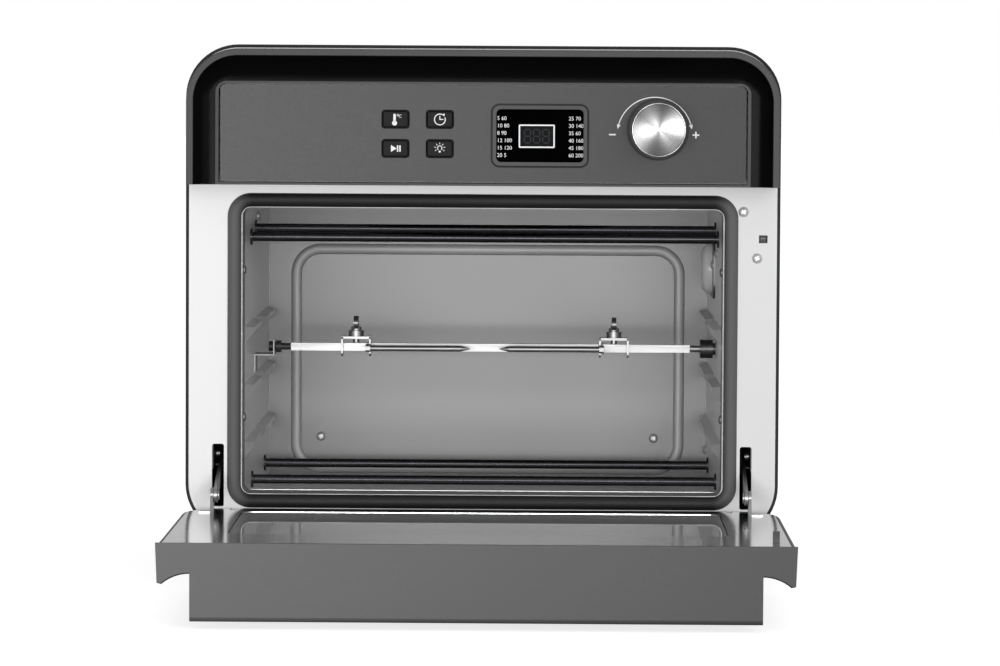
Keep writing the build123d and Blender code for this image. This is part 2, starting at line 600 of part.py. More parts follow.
with BuildPart() as spit_bracket:
    with BuildSketch(Plane.YZ.offset(-HOOK_X)):
        with Locations((FRONT_Y + SPIT_D, SPIT_Z - 0.5)):
            Rectangle(22, 10)
        with Locations((FRONT_Y + SPIT_D, SPIT_Z)):
            Circle(NECK_R + GAP, mode=Mode.SUBTRACT)
        with Locations((FRONT_Y + SPIT_D, SPIT_Z + 5)):
            Rectangle(2 * (NECK_R + GAP), 10, mode=Mode.SUBTRACT)
    extrude(amount=SHEET)
    with BuildSketch(Plane.XY.offset(SPIT_Z - 5.5)):
        with Locations(((SHEET - HOOK_X - CAV_HALF) / 2, FRONT_Y + SPIT_D)):
            Rectangle(CAV_HALF - HOOK_X + SHEET, 22)
    extrude(amount=SHEET)
    with BuildSketch(Plane.YZ.offset(-CAV_HALF)):
        with Locations((FRONT_Y + SPIT_D, SPIT_Z - 10.7)):
            Rectangle(22, 12)
    extrude(amount=SHEET)
spit_bracket.part.label = "spit_bracket"


def turned(name, steps):
    """Part turned about the spit's axis: (x from, x to, radius)."""
    with BuildPart() as piece:
        for x0, x1, radius in steps:
            with BuildSketch(Plane.YZ.offset(x0)):
                with Locations((FRONT_Y + SPIT_D, SPIT_Z)):
                    Circle(radius)
            extrude(amount=x1 - x0)
    piece.part.label = name
    return piece


ROD_X0, ROD_X1 = 24 - CAV_HALF, CAV_HALF - 10
spit_bushing = turned("spit_bushing", ((-HOOK_X - 3.5, -HOOK_X - 0.5, 3.35),
                                       (-HOOK_X - 0.5, -HOOK_X + 1.5, NECK_R),
                                       (-HOOK_X + 1.5, -HOOK_X + 4.8, 4.0),
                                       (-HOOK_X + 4.8, ROD_X0, 2.2)))
drive_socket = turned("drive_socket", ((ROD_X1, ROD_X1 + 8.4, 6.15),
                                       (ROD_X1 + 8.4, ROD_X1 + 24.7, DRIVE_R)))
with BuildPart() as spit_rod:
    with BuildSketch(Plane.YZ.offset(ROD_X0)):
        with Locations((FRONT_Y + SPIT_D, SPIT_Z)):
            Rectangle(SPIT_W, SPIT_W)
    extrude(amount=ROD_X1 - 6.9 - ROD_X0)
    with BuildSketch(Plane.YZ.offset(ROD_X1 - 6.9)):
        with Locations((FRONT_Y + SPIT_D, SPIT_Z)):
            Circle(2.2)
    extrude(amount=6.9)
spit_rod.part.label = "spit_rod"

SPIT_Y = FRONT_Y + SPIT_D
ROD_HOLE = SPIT_W + 2 * GAP

FORK_W = 19.7
FORK_X0 = CAV_HALF - 77.3
FORK_X1, FORK_MID = FORK_X0 + FORK_W, FORK_X0 + 9.9
PRONG_TIP, PRONG_POINT = 10.0, 6.0   # half the gap between the points, length of a point
PRONG_END = PRONG_TIP + PRONG_POINT
THUMB_R = 2.0


def make_fork(side, name):
    """Bent bracket sliding on the rod, with two prongs pointing to the middle of the spit."""
    with BuildPart() as fork:
        for x in (FORK_X0, FORK_X1 - 1.2):                      # end plates round the rod
            with BuildSketch(Plane.YZ.offset(side * x)):
                with Locations((SPIT_Y, SPIT_Z + 0.6)):
                    RectangleRounded(13, 13, 2)
                with Locations((SPIT_Y, SPIT_Z)):
                    Rectangle(ROD_HOLE, ROD_HOLE, mode=Mode.SUBTRACT)
            extrude(amount=side * 1.2)
        with BuildSketch(Plane.XY.offset(SPIT_Z + 5.6)):        # bridge over the rod
            with Locations((side * (FORK_X0 + FORK_X1) / 2, SPIT_Y)):
                Rectangle(FORK_X1 - FORK_X0, 11)
        extrude(amount=1.5)
        with BuildSketch(Plane.XY.offset(SPIT_Z + 7)):          # nut of the thumb screw
            with Locations((side * FORK_MID, SPIT_Y)):
                Circle(5)
        extrude(amount=4)
        with BuildSketch(Plane.XY.offset(SPIT_Z + 4)):
            with Locations((side * FORK_MID, SPIT_Y)):
                Circle(THUMB_R + RUN)
        extrude(amount=12, mode=Mode.SUBTRACT)
        with BuildSketch(Plane.YZ.offset(side * FORK_X0)):      # feet of the prongs
            with Locations((SPIT_Y - 12, SPIT_Z), (SPIT_Y + 12, SPIT_Z)):
                RectangleRounded(13, 5, 1.5)
        extrude(amount=side * 3)
        with BuildSketch(Plane.YZ.offset(side * (FORK_X0 + 2))):
            with Locations((SPIT_Y - 16, SPIT_Z), (SPIT_Y + 16, SPIT_Z)):
                Circle(1.9)
        extrude(amount=-side * (FORK_X0 + 2 - PRONG_END))
        with BuildSketch(Plane.YZ.offset(side * PRONG_END)):
            with Locations((SPIT_Y - 16, SPIT_Z), (SPIT_Y + 16, SPIT_Z)):
                Circle(1.9)
        extrude(amount=-side * PRONG_POINT, taper=15)
    fork.part.label = name
    return fork


fork_left, fork_right = make_fork(-1, "fork_left"), make_fork(1, "fork_right")


def make_thumb_screw(side, name):
    with BuildPart() as screw:
        with BuildSketch(Plane.XY.offset(SPIT_Z + SPIT_W / 2 + GAP + 0.1)):
            with Locations((side * FORK_MID, SPIT_Y)):
                Circle(THUMB_R)
        extrude(amount=12)
        with BuildSketch(Plane.XY.offset(SPIT_Z + 11 + GAP + 0.1)):
            with Locations((side * FORK_MID, SPIT_Y)):
                Circle(3.4)
        extrude(amount=2)
        with BuildSketch(Plane.YZ.offset(side * FORK_MID - 1.5)):   # wing, seen edge-on
            with Locations((SPIT_Y, SPIT_Z + 16.2)):
                Ellipse(8, 4.4)
        extrude(amount=3)
    screw.part.label = name
    return screw


thumb_screw_left = make_thumb_screw(-1, "thumb_screw_left")
thumb_screw_right = make_thumb_screw(1, "thumb_screw_right")

# ================= front seal, hinges, switch =================
with BuildPart() as door_gasket:
    with BuildSketch(front(0)):
        box_outline(COLLAR_HALF + 9.5, COLLAR_LOW - 9.1, COLLAR_HIGH + 9.2, 15)
        box_outline(COLLAR_HALF + SHEET, COLLAR_LOW - SHEET, COLLAR_HIGH + SHEET, 6,
                    mode=Mode.SUBTRACT)
    extrude(amount=2.7)
    fillet(door_gasket.faces().sort_by(Axis.Y)[0].edges(), 1.3)
door_gasket.part.label = "door_gasket"

EAR_R = 5.0
with BuildPart() as hinge_brackets:
    for s in (-1, 1):
        with BuildSketch(Plane.YZ.offset(s * EAR_X - EAR_T / 2)):
            with Locations((HINGE_Y, PIVOT_Z)):
                Circle(EAR_R)
            with Locations((HINGE_Y + 11.5, PIVOT_Z + 2.3)):
                Rectangle(23, 5.4)
            with Locations((FRONT_Y + 7.5, PIVOT_Z + 2)):
                Rectangle(11, 10.8)
            with Locations((HINGE_Y, PIVOT_Z)):
                Circle(PIN_R + RUN, mode=Mode.SUBTRACT)
        extrude(amount=EAR_T)
        with BuildSketch(front(3.5)):
            with Locations((s * (EAR_X + 4.2), PIVOT_Z + 2.7)):
                Rectangle(6, 9.0)
        extrude(amount=1.5)
hinge_brackets.part.label = "hinge_brackets"

GUIDE_Z = (PIVOT_Z + 32.5, PIVOT_Z + 51.7)
ARM_X = SLOT_X - 1.6
BRACKET_X = ARM_X + ARM_T + GAP
with BuildPart() as arm_guides:
    for s in (-1, 1):
        with BuildSketch(front(88)):
            with Locations((s * (SLOT_X + 4.45), sum(GUIDE_Z) / 2)):
                Rectangle(1.5, GUIDE_Z[1] - GUIDE_Z[0])
        extrude(amount=86)
        with BuildSketch(front(88)):                            # lips over and under the roller
            with Locations(*[(s * (SLOT_X + 3.1), z) for z in (GUIDE_Z[0] + 0.5, GUIDE_Z[1] - 0.5)]):
                Rectangle(4.2, 1)
        extrude(amount=60)
        with BuildSketch(front(3.5)):
            with Locations((s * (SLOT_X + 9.2), sum(GUIDE_Z) / 2)):
                Rectangle(12, GUIDE_Z[1] - GUIDE_Z[0])
        extrude(amount=1.5)
arm_guides.part.label = "arm_guides"

with BuildPart() as door_switch:
    with BuildSketch(front(24)):
        with Locations((SWITCH_X, SWITCH_Z)):
            Rectangle(15, 18)
    extrude(amount=22)
    with BuildSketch(front(4.6)):                               # mouth for the door's peg
        with Locations((SWITCH_X, SWITCH_Z)):
            Rectangle(7, 7)
    extrude(amount=4, mode=Mode.SUBTRACT)
    with BuildSketch(front(18)):
        with Locations((SWITCH_X, SWITCH_Z)):
            Circle(2.2 + RUN)
    extrude(amount=18, mode=Mode.SUBTRACT)
door_switch.part.label = "door_switch"

with BuildPart() as switch_plunger:
    with BuildSketch(front(15)):
        with Locations((SWITCH_X, SWITCH_Z)):
            Circle(2.2)
    extrude(amount=11.7)
switch_plunger.part.label = "switch_plunger"

WALL_SCREWS = [(-1, 156, CAV_CEIL - 18), (1, 119.6, CAV_CEIL - 40), (1, CAV_DEPTH - 19, CAV_CEIL - 49),
               (1, CAV_DEPTH - 9, CAV_FLOOR + 22),
               (1, LAMP_D - 30, LAMP_Z + 3.5), (1, LAMP_D + 30, LAMP_Z + 3.5)]
with BuildPart() as screws:
    with BuildSketch(front(0)):                                 # front frame
        with Locations(*FRAME_SCREWS):
            Circle(2.75)
    extrude(amount=1.2)
    with BuildSketch(front(8)):
        with Locations(*FRAME_SCREWS):
            Circle(SCREW_R)
    extrude(amount=8)
    with BuildSketch(front(CAV_DEPTH)):                         # rear wall
        with Locations(*[(s * (CAV_HALF - x), CAV_FLOOR + z) for s in (-1, 1)
                         for x, z in ((36.7, 29.2),)]):
            Circle(2.4)
    extrude(amount=1.2)
    for s, d, z in WALL_SCREWS:                                 # side walls and lamp frame
        seat = CAV_HALF - (1.2 if s > 0 and abs(d - LAMP_D) < 35 else 0)
        with BuildSketch(Plane.YZ.offset(s * seat)):
            with Locations((FRONT_Y + d, z)):
                Circle(2.4)
        extrude(amount=-s * 1.2)
screws.part.label = "screws"

with BuildPart() as rivets:
    for z, up in ((COLLAR_LOW, 1), (COLLAR_HIGH, -1)):
        with BuildSketch(Plane.XY.offset(z)):
            with Locations(*[(x, FRONT_Y + RIVET_D) for x in (31 - COLLAR_HALF, 0, COLLAR_HALF - 31)]):
                Circle(RIVET_R)
        extrude(amount=up * 1.1)
    for s in (-1, 1):
        with BuildSketch(Plane.YZ.offset(s * COLLAR_HALF)):
            with Locations((FRONT_Y + RIVET_D, CAV_CEIL - 48), (FRONT_Y + RIVET_D, CAV_FLOOR + 65)):
                Circle(RIVET_R)
        extrude(amount=-s * 1.1)
rivets.part.label = "rivets"

with BuildPart() as cord_gland:
    with BuildSketch(front(BODY_DEPTH - 8)):
        with Locations((GLAND_X, GLAND_Z)):
            Circle(GLAND_R + 3.1)
    extrude(amount=-8)
    with BuildSketch(front(BODY_DEPTH)):
        with Locations((GLAND_X, GLAND_Z)):
            Circle(GLAND_R + 6)
    extrude(amount=-4)
    with BuildSketch(front(BODY_DEPTH + 5)):
        with Locations((GLAND_X, GLAND_Z)):
            Circle(GLAND_R)
    extrude(amount=20, mode=Mode.SUBTRACT)
cord_gland.part.label = "cord_gland"

# ================= door (drawn on its own plane: x, out from the hinge, depth) =================
D_COVE_OUT = DOOR_HALF - DOOR_LAND       # half widths where the door's hollow band starts
D_COVE_IN = D_COVE_OUT - 16.7            # and ends
D_FOOT_OUT, D_FOOT_IN = DOOR_FOOT + 5.5, DOOR_FOOT + 18.5
DOOR_R = 33.0
PANEL_INSET = 3.2                        # door frame's rim round the steel panel
PANE_HALF, PANE_H, PANE_R = COLLAR_HALF - 2.0, 139.0, 8.0
PANE_T, PANE_SET = 4.9, 0.3              # inner pane, set a little below the steel panel
PANE_V = COLLAR_LOW - PIVOT_Z - 1.0 + PANE_H / 2
LIP = PANE_HALF + GAP                    # steel panel's edge, turned down round the pane
BODY_END = DOOR_HEAD - WING
NOTCH_W = EAR_T + 2 * 0.6
GRIP_W = 17.0                            # handle block behind the end wall
with BuildPart() as door_frame:
    with BuildSketch(DOOR):
        arch(DOOR_HALF, BODY_END, DOOR_FOOT, DOOR_R)
    extrude(amount=DOOR_RIM, taper=DOOR_DRAFT)
    foot_edges = door_frame.faces().sort_by(Axis.Z)[-1].edges().sort_by(Axis.Y)[-3:]
    fillet(foot_edges, 4)
    rim_edges = door_frame.faces().sort_by(Axis.Z)[0].edges().filter_by(
        lambda e: e.center().Y > HINGE_Y - BODY_END + 1)
    fillet(rim_edges, 1.2)
    with BuildSketch(DOOR.offset(DOOR_SEAT)):
        arch(D_COVE_OUT + 0.4, BODY_END + 5, D_FOOT_OUT - 0.4, DOOR_R - 4)
    extrude(amount=20, mode=Mode.SUBTRACT)
    with BuildSketch(DOOR.offset(-1)):                          # recess of the steel panel
        arch(DOOR_HALF - PANEL_INSET, BODY_END + 5, DOOR_FOOT + 4.2, DOOR_R - 3.5)
    extrude(amount=1 + SHEET, mode=Mode.SUBTRACT)
    with BuildSketch(DOOR.offset(-1)):                          # seat of the inner pane
        with Locations((0, PANE_V)):
            RectangleRounded(2 * (LIP + SHEET), PANE_H + 2 * (GAP + SHEET), PANE_R + SHEET)
    extrude(amount=1 + PANE_SET + PANE_T, mode=Mode.SUBTRACT)
    with BuildSketch(DOOR.offset(-1)):                          # window
        with Locations((0, PANE_V)):
            RectangleRounded(2 * PANE_HALF - 16, PANE_H - 16, PANE_R)
    extrude(amount=30, mode=Mode.SUBTRACT)
    with BuildSketch(DOOR.offset(-1)):                          # hinge ear notches
        with Locations((-EAR_X, -4.4), (EAR_X, -4.4)):
            Rectangle(NOTCH_W, 20)
    extrude(amount=14.6, mode=Mode.SUBTRACT)
    for s in (-1, 1):                                           # hinge pin bores
        with BuildSketch(Plane.YZ.offset(s * (EAR_X - 8))):
            with Locations((HINGE_Y, PIVOT_Z)):
                Circle(PIN_R + SEAT)
        extrude(amount=s * 16, mode=Mode.SUBTRACT)
door_frame.part.label = "door_frame"

with BuildPart() as door_band:
    with BuildSketch(DOOR.offset(DOOR_SEAT)):
        arch(D_COVE_OUT + 0.4, BODY_END, D_FOOT_OUT - 0.4, DOOR_R - 4)
        arch(D_COVE_IN, BODY_END + 5, D_FOOT_IN, 14.5, mode=Mode.SUBTRACT)
    extrude(amount=DOOR_RIM - DOOR_SEAT)
    for t, deep in cove_steps(DOOR_RIM - GLASS_FACE, D_COVE_OUT - D_COVE_IN):
        with BuildSketch(DOOR.offset(DOOR_RIM - deep)):
            arch(D_COVE_IN + (D_COVE_OUT - D_COVE_IN) * t, BODY_END + 8,
                 D_FOOT_IN + (D_FOOT_OUT - D_FOOT_IN) * t, 14.5 + 13 * t)
    loft(mode=Mode.SUBTRACT)
door_band.part.label = "door_band"

with BuildPart() as door_glass_outer:
    with BuildSketch(DOOR.offset(DOOR_SEAT)):
        arch(D_COVE_IN - 0.4, BODY_END - GRIP_W, D_FOOT_IN + 0.3, 14.2)
    extrude(amount=GLASS_FACE - DOOR_SEAT)
door_glass_outer.part.label = "door_glass_outer"

with BuildPart() as door_inner_panel:
    with BuildSketch(DOOR):
        arch(DOOR_HALF - PANEL_INSET - 0.5, BODY_END, DOOR_FOOT + 4.6, DOOR_R - 4)
        with Locations((0, PANE_V)):
            RectangleRounded(2 * LIP, PANE_H + 2 * GAP, PANE_R, mode=Mode.SUBTRACT)
        with Locations((-EAR_X, -2.4), (EAR_X, -2.4)):
            Rectangle(NOTCH_W + 0.4, 17, mode=Mode.SUBTRACT)
    extrude(amount=SHEET)
    with BuildSketch(DOOR):                                     # lip round the pane
        with Locations((0, PANE_V)):
            RectangleRounded(2 * (LIP + SHEET), PANE_H + 2 * (GAP + SHEET), PANE_R + SHEET)
            RectangleRounded(2 * LIP, PANE_H + 2 * GAP, PANE_R, mode=Mode.SUBTRACT)
    extrude(amount=2 * SHEET)
door_inner_panel.part.label = "door_inner_panel"

with BuildPart() as door_glass_inner:
    with BuildSketch(DOOR.offset(PANE_SET)):
        with Locations((0, PANE_V)):
            RectangleRounded(2 * PANE_HALF, PANE_H, PANE_R - GAP)
    extrude(amount=PANE_T)
    chamfer(door_glass_inner.faces().sort_by(Axis.Z)[-1].edges(), 0.4)
door_glass_inner.part.label = "door_glass_inner"

CAP_PLANE = Plane(origin=(0, HINGE_Y - BODY_END, PIVOT_Z + HINGE_DEPTH), x_dir=(1, 0, 0),
                  z_dir=(0, -1, 0))                            # section across the door, z up
with BuildPart() as door_cap:
    with BuildSketch(CAP_PLANE):                                # end wall with its scooped wings
        with BuildLine():
            Polyline((DOOR_HALF - 0.95, -DOOR_RIM + 1.0), (DOOR_HALF, 0), (-DOOR_HALF, 0),
                     (-DOOR_HALF + 0.95, -DOOR_RIM + 1.0))
            Line((-DOOR_HALF + 0.95, -DOOR_RIM + 1.0), (-D_COVE_OUT, -DOOR_RIM + 1.0))
            TangentArc((-D_COVE_IN, -GLASS_FACE + 1.0), (-D_COVE_OUT, -DOOR_RIM + 1.0),
                       tangent=(-1, 0))
            Polyline((-D_COVE_IN, -GLASS_FACE + 1.0), (-D_COVE_IN, -HANDLE_DEPTH),
                     (D_COVE_IN, -HANDLE_DEPTH), (D_COVE_IN, -GLASS_FACE + 1.0))
            TangentArc((D_COVE_IN, -GLASS_FACE + 1.0), (D_COVE_OUT, -DOOR_RIM + 1.0),
                       tangent=(1, 0))
            Line((D_COVE_OUT, -DOOR_RIM + 1.0), (DOOR_HALF - 0.95, -DOOR_RIM + 1.0))
        make_face()
    extrude(amount=WING)
    with BuildSketch(CAP_PLANE):                                # handle block
        with Locations((0, -(GLASS_FACE + HANDLE_DEPTH) / 2)):
            Rectangle(2 * D_COVE_IN, HANDLE_DEPTH - GLASS_FACE)
    extrude(amount=-GRIP_W)
    with BuildSketch(CAP_PLANE):                                # seat behind the handle
        with Locations((0, -(DOOR_SEAT + GLASS_FACE) / 2)):
            Rectangle(2 * D_COVE_IN - 0.8, GLASS_FACE - DOOR_SEAT)
    extrude(amount=-GRIP_W + 0.2)
    long_edges = door_cap.edges().filter_by(Axis.X).filter_by(
        lambda e: e.center().Z < PIVOT_Z + HINGE_DEPTH - HANDLE_DEPTH + 0.1)
    fillet(long_edges, 3)
    with BuildSketch(CAP_PLANE.offset(WING - 5)):               # finger room behind the lip
        with Locations((0, -(GLASS_FACE + HANDLE_DEPTH - 6) / 2)):
            RectangleRounded(2 * D_COVE_IN - 8, HANDLE_DEPTH - GLASS_FACE - 6, 3)
    extrude(amount=-30, mode=Mode.SUBTRACT)
door_cap.part.label = "door_cap"

with BuildPart() as hinge_pins:
    for s in (-1, 1):
        with BuildSketch(Plane.YZ.offset(s * (EAR_X - 8))):
            with Locations((HINGE_Y, PIVOT_Z)):
                Circle(PIN_R)
        extrude(amount=s * 16)
hinge_pins.part.label = "hinge_pins"

with BuildPart() as arm_brackets:
    for s in (-1, 1):
        with BuildSketch(Plane.YZ.offset(s * BRACKET_X)):
            with Locations(ARM_Q):
                Circle(4.6)
            with BuildLine():
                Polyline((HINGE_Y - 13, PIVOT_Z + HINGE_DEPTH), (ARM_Q[0] + 4.6, ARM_Q[1] - 6),
                         (ARM_Q[0] + 4.6, ARM_Q[1]), (ARM_Q[0] - 4.6, ARM_Q[1]),
                         (HINGE_Y - 26, PIVOT_Z + HINGE_DEPTH),
                         (HINGE_Y - 13, PIVOT_Z + HINGE_DEPTH))
            make_face()
        extrude(amount=s * 1.8)
        with BuildSketch(DOOR.offset(-SHEET)):                  # foot riveted to the panel
            with Locations((s * (BRACKET_X + 4.4), 19.5)):
                Rectangle(8.8, 11)
        extrude(amount=SHEET)
        with BuildSketch(Plane.YZ.offset(s * BRACKET_X)):       # rivet that carries the arm
            with Locations(ARM_Q):
                Circle(2)
        extrude(amount=-s * (ARM_T + 0.7))
        with BuildSketch(Plane.YZ.offset(s * (ARM_X - GAP))):
            with Locations(ARM_Q):
                Circle(3.4)
        extrude(amount=-s * 0.9)
arm_brackets.part.label = "arm_brackets"

with BuildPart() as switch_peg:
    with BuildSketch(DOOR.offset(-6)):
        with Locations((SWITCH_X, SWITCH_Z - PIVOT_Z)):
            Rectangle(4, 3.4)
    extrude(amount=6)
switch_peg.part.label = "switch_peg"


def make_arm(side, name):
    """Hinge arm: plate from the door's bracket to a roller that runs in the guide."""
    with BuildPart() as arm:
        with BuildSketch(Plane.YZ.offset(side * ARM_X)):
            with Locations(((ARM_Q[0] + ARM_R[0]) / 2, (ARM_Q[1] + ARM_R[1]) / 2)):
                SlotCenterToCenter(ARM_LEN, 10, rotation=ARM_TILT)
            with Locations(ARM_Q):
                Circle(2 + RUN, mode=Mode.SUBTRACT)
        extrude(amount=side * ARM_T)
        with BuildSketch(Plane.YZ.offset(side * (ARM_X + ARM_T))):
            with Locations(ARM_R):
                Circle(2.5)
        extrude(amount=side * 0.4)
        with BuildSketch(Plane.YZ.offset(side * BRACKET_X)):
            with Locations(ARM_R):
                Circle(4)
        extrude(amount=side * 2.7)
    arm.part.label = name
    return arm


hinge_arm_left, hinge_arm_right = make_arm(-1, "hinge_arm_left"), make_arm(1, "hinge_arm_right")

PIECES = [outer_wrap, rear_cover, base_pan, feet, front_frame, fascia_rim, fascia_band,
          control_panel, display_bezel, display_lens, control_board, *buttons, knob_skirt,
          knob_cap, cavity_collar, cavity_side_left, cavity_side_right, cavity_rear_wall,
          cavity_floor, cavity_ceiling, fan_guard, fan_housing, fan_motor, fan_wheel,
          upper_heaters, lower_heaters, lamp_bezel, lamp_lens, lamp_bulb, rotisserie_motor,
          spit_bracket, spit_bushing, drive_socket, spit_rod, fork_left, fork_right,
          thumb_screw_left, thumb_screw_right, door_gasket, hinge_brackets, arm_guides,
          door_switch, switch_plunger, screws, rivets, cord_gland, door_frame, door_band,
          door_glass_outer, door_inner_panel, door_glass_inner, door_cap, hinge_pins,
          arm_brackets, switch_peg, hinge_arm_left, hinge_arm_right]

os.makedirs("parts", exist_ok=True)
for piece in PIECES:
    export_step(piece.part, "parts/" + piece.part.label + ".step")
    b = piece.part.bounding_box()
    print(piece.part.label, len(piece.part.solids()), round(piece.part.volume),
          [round(v, 1) for v in (*b.min, *b.max)])
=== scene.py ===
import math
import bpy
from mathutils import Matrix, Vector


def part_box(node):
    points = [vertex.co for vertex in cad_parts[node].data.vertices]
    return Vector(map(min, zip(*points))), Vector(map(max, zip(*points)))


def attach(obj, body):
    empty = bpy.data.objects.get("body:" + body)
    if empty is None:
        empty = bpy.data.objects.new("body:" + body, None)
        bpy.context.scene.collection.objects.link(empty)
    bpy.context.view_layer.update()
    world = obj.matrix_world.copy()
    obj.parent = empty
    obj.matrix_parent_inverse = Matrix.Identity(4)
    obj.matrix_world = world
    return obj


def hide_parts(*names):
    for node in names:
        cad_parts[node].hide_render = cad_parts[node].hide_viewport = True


bl_info = {
    "name": "Oven-type air fryer",
    "version": (1, 0, 0),
    "blender": (4, 5, 0),
    "location": "View3D > Sidebar > Air fryer",
    "description": "Dresses the packed air-fryer oven with finishes, signs and fittings",
    "category": "Object",
}

import bpy
from mathutils import Matrix, Vector

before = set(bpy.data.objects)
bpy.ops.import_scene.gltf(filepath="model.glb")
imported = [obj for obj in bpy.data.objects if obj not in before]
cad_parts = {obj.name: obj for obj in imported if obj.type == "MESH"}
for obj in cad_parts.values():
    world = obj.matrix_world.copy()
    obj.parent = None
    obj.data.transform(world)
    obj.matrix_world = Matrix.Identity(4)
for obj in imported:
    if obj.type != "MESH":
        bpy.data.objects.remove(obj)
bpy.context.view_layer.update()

FRAME_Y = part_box("front_frame")[0].y            # front face of the front frame
LENS_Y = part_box("display_lens")[0].y            # face of the display's lens


def middle(node):
    """Middle of a CAD node's box."""
    low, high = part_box(node)
    return (low + high) / 2


KNOB = middle("knob_cap")
LENS = middle("display_lens")
BODY_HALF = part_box("outer_wrap")[1].x
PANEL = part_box("control_panel")
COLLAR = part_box("cavity_collar")
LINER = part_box("cavity_side_left")
SHEET = 0.0008                                  # thickness of the oven's sheet metal

# fasteners: (x, z) on the front frame and the rear wall, (side, depth, z) on the side walls
FRONT_SCREWS = [(BODY_HALF - 0.0233, 0.2412), (BODY_HALF - 0.0145, 0.2118)]
REAR_SCREWS = [(side * (LINER[0].x + 0.0375), 0.0732) for side in (-1, 1)]
WALL_SCREWS = [(-1, 0.156, 0.232), (1, 0.1196, 0.210), (1, 0.281, 0.201), (1, 0.291, 0.066),
               (1, 0.155, 0.201), (1, 0.215, 0.201)]
LAMP_DEPTH, LAMP_HALF = 0.185, 0.035            # lamp's frame on the right wall: place, half length
LAMP_RIM = 0.0012                               # and thickness, under the screws that hold it
RIVET_LOW, RIVET_HIGH = 0.0602, 0.2423          # rivets under and over the oven's mouth
RIVET_SIDES = (0.2021, 0.108)                   # rivets up the sides of the mouth
RIVET_END = 0.031                               # outer rivets in from the collar's sides
RIVET_DEPTH = 0.0136                            # rivets behind the front frame
BEAD_SIDE, BEAD_FOOT, BEAD_HEAD = 0.0201, 0.0081, 0.0460    # ring in from the rear wall's edges

# printed signs and display
INK = 0.00008                                   # thickness of printed signs
PROUD = 0.00002                                 # their backs lie this far before a face
LINE = 0.0006                                   # width of drawn lines
STROKE, STROKE_LONG = 0.0009, 0.0042            # minus and plus
SIGN_SHIFT = Vector((-0.002, 0, -0.0034))       # middle of the knob's signs, from the knob
MINUS_X, PLUS_X = -0.0266, 0.0259               # from the middle of the signs
SCREEN_SHIFT = Vector((-0.002, 0, -0.0003))     # middle of the screen, from the lens
SCREEN, SCREEN_RIM = (0.0206, 0.0126), (0.0227, 0.0147)
DIGIT_HALF, DIGIT_SIDE = 0.0042, 0.002          # from a digit's middle to its outer bars
DIGIT_STEP = 0.0058                             # from one digit to the next
BAR, BAR_T, BAR_R = 0.0007, 0.00006, 0.00025    # a digit's bars: width, thickness, corner
NUMBER_ROWS, NUMBER_STEP = 0.0108, 0.00464      # first row above the lens's middle, row pitch
NUMBER_COLUMNS = (-0.0270, 0.0180)              # their left ends, from the lens's middle


# ------------------------------------------------------------------ settings
class FryerFinishes(bpy.types.PropertyGroup):
    """Colours of the main finishes."""
    wrap: bpy.props.FloatVectorProperty(
        name="Wrap", description="Enamel of the outer wrap", subtype="COLOR",
        size=3, min=0, max=1, default=(0.012, 0.012, 0.013))
    grey: bpy.props.FloatVectorProperty(
        name="Grey rim", description="Satin grey of the fascia rim and the door edge",
        subtype="COLOR", size=3, min=0, max=1, default=(0.095, 0.095, 0.097))
    pale: bpy.props.FloatVectorProperty(
        name="Front frame", description="Pale coating round the oven's mouth",
        subtype="COLOR", size=3, min=0, max=1, default=(0.90, 0.90, 0.90))
    panel: bpy.props.FloatVectorProperty(
        name="Control panel", description="Dark satin sheet behind the controls",
        subtype="COLOR", size=3, min=0, max=1, default=(0.070, 0.070, 0.072))
    black: bpy.props.FloatVectorProperty(
        name="Black", description="Glossy black of the hollow bands",
        subtype="COLOR", size=3, min=0, max=1, default=(0.0015, 0.0015, 0.0018))
    liner: bpy.props.FloatVectorProperty(
        name="Oven liner", description="Satin steel of the oven's walls",
        subtype="COLOR", size=3, min=0, max=1, default=(0.95, 0.95, 0.955))
    sign: bpy.props.FloatVectorProperty(
        name="Signs", description="Printed signs on the panel and the buttons",
        subtype="COLOR", size=3, min=0, max=1, default=(0.85, 0.85, 0.85))


class FryerSizes(bpy.types.PropertyGroup):
    """Sizes of the pieces that are modelled here."""
    seal: bpy.props.FloatProperty(
        name="Seal", description="Thickness of the round-backed door seal", unit="LENGTH",
        default=0.0087, min=0.004, max=0.012, precision=4)
    bead: bpy.props.FloatProperty(
        name="Bead", description="Width of the raised ring on the rear wall", unit="LENGTH",
        default=0.0074, min=0.003, max=0.012, precision=4)
    arc: bpy.props.FloatProperty(
        name="Arc", description="Radius of the printed arc round the knob", unit="LENGTH",
        default=0.0236, min=0.019, max=0.026, precision=4)
    numbers: bpy.props.FloatProperty(
        name="Numbers", description="Height of the numbers beside the screen", unit="LENGTH",
        default=0.0034, min=0.002, max=0.004, precision=4)


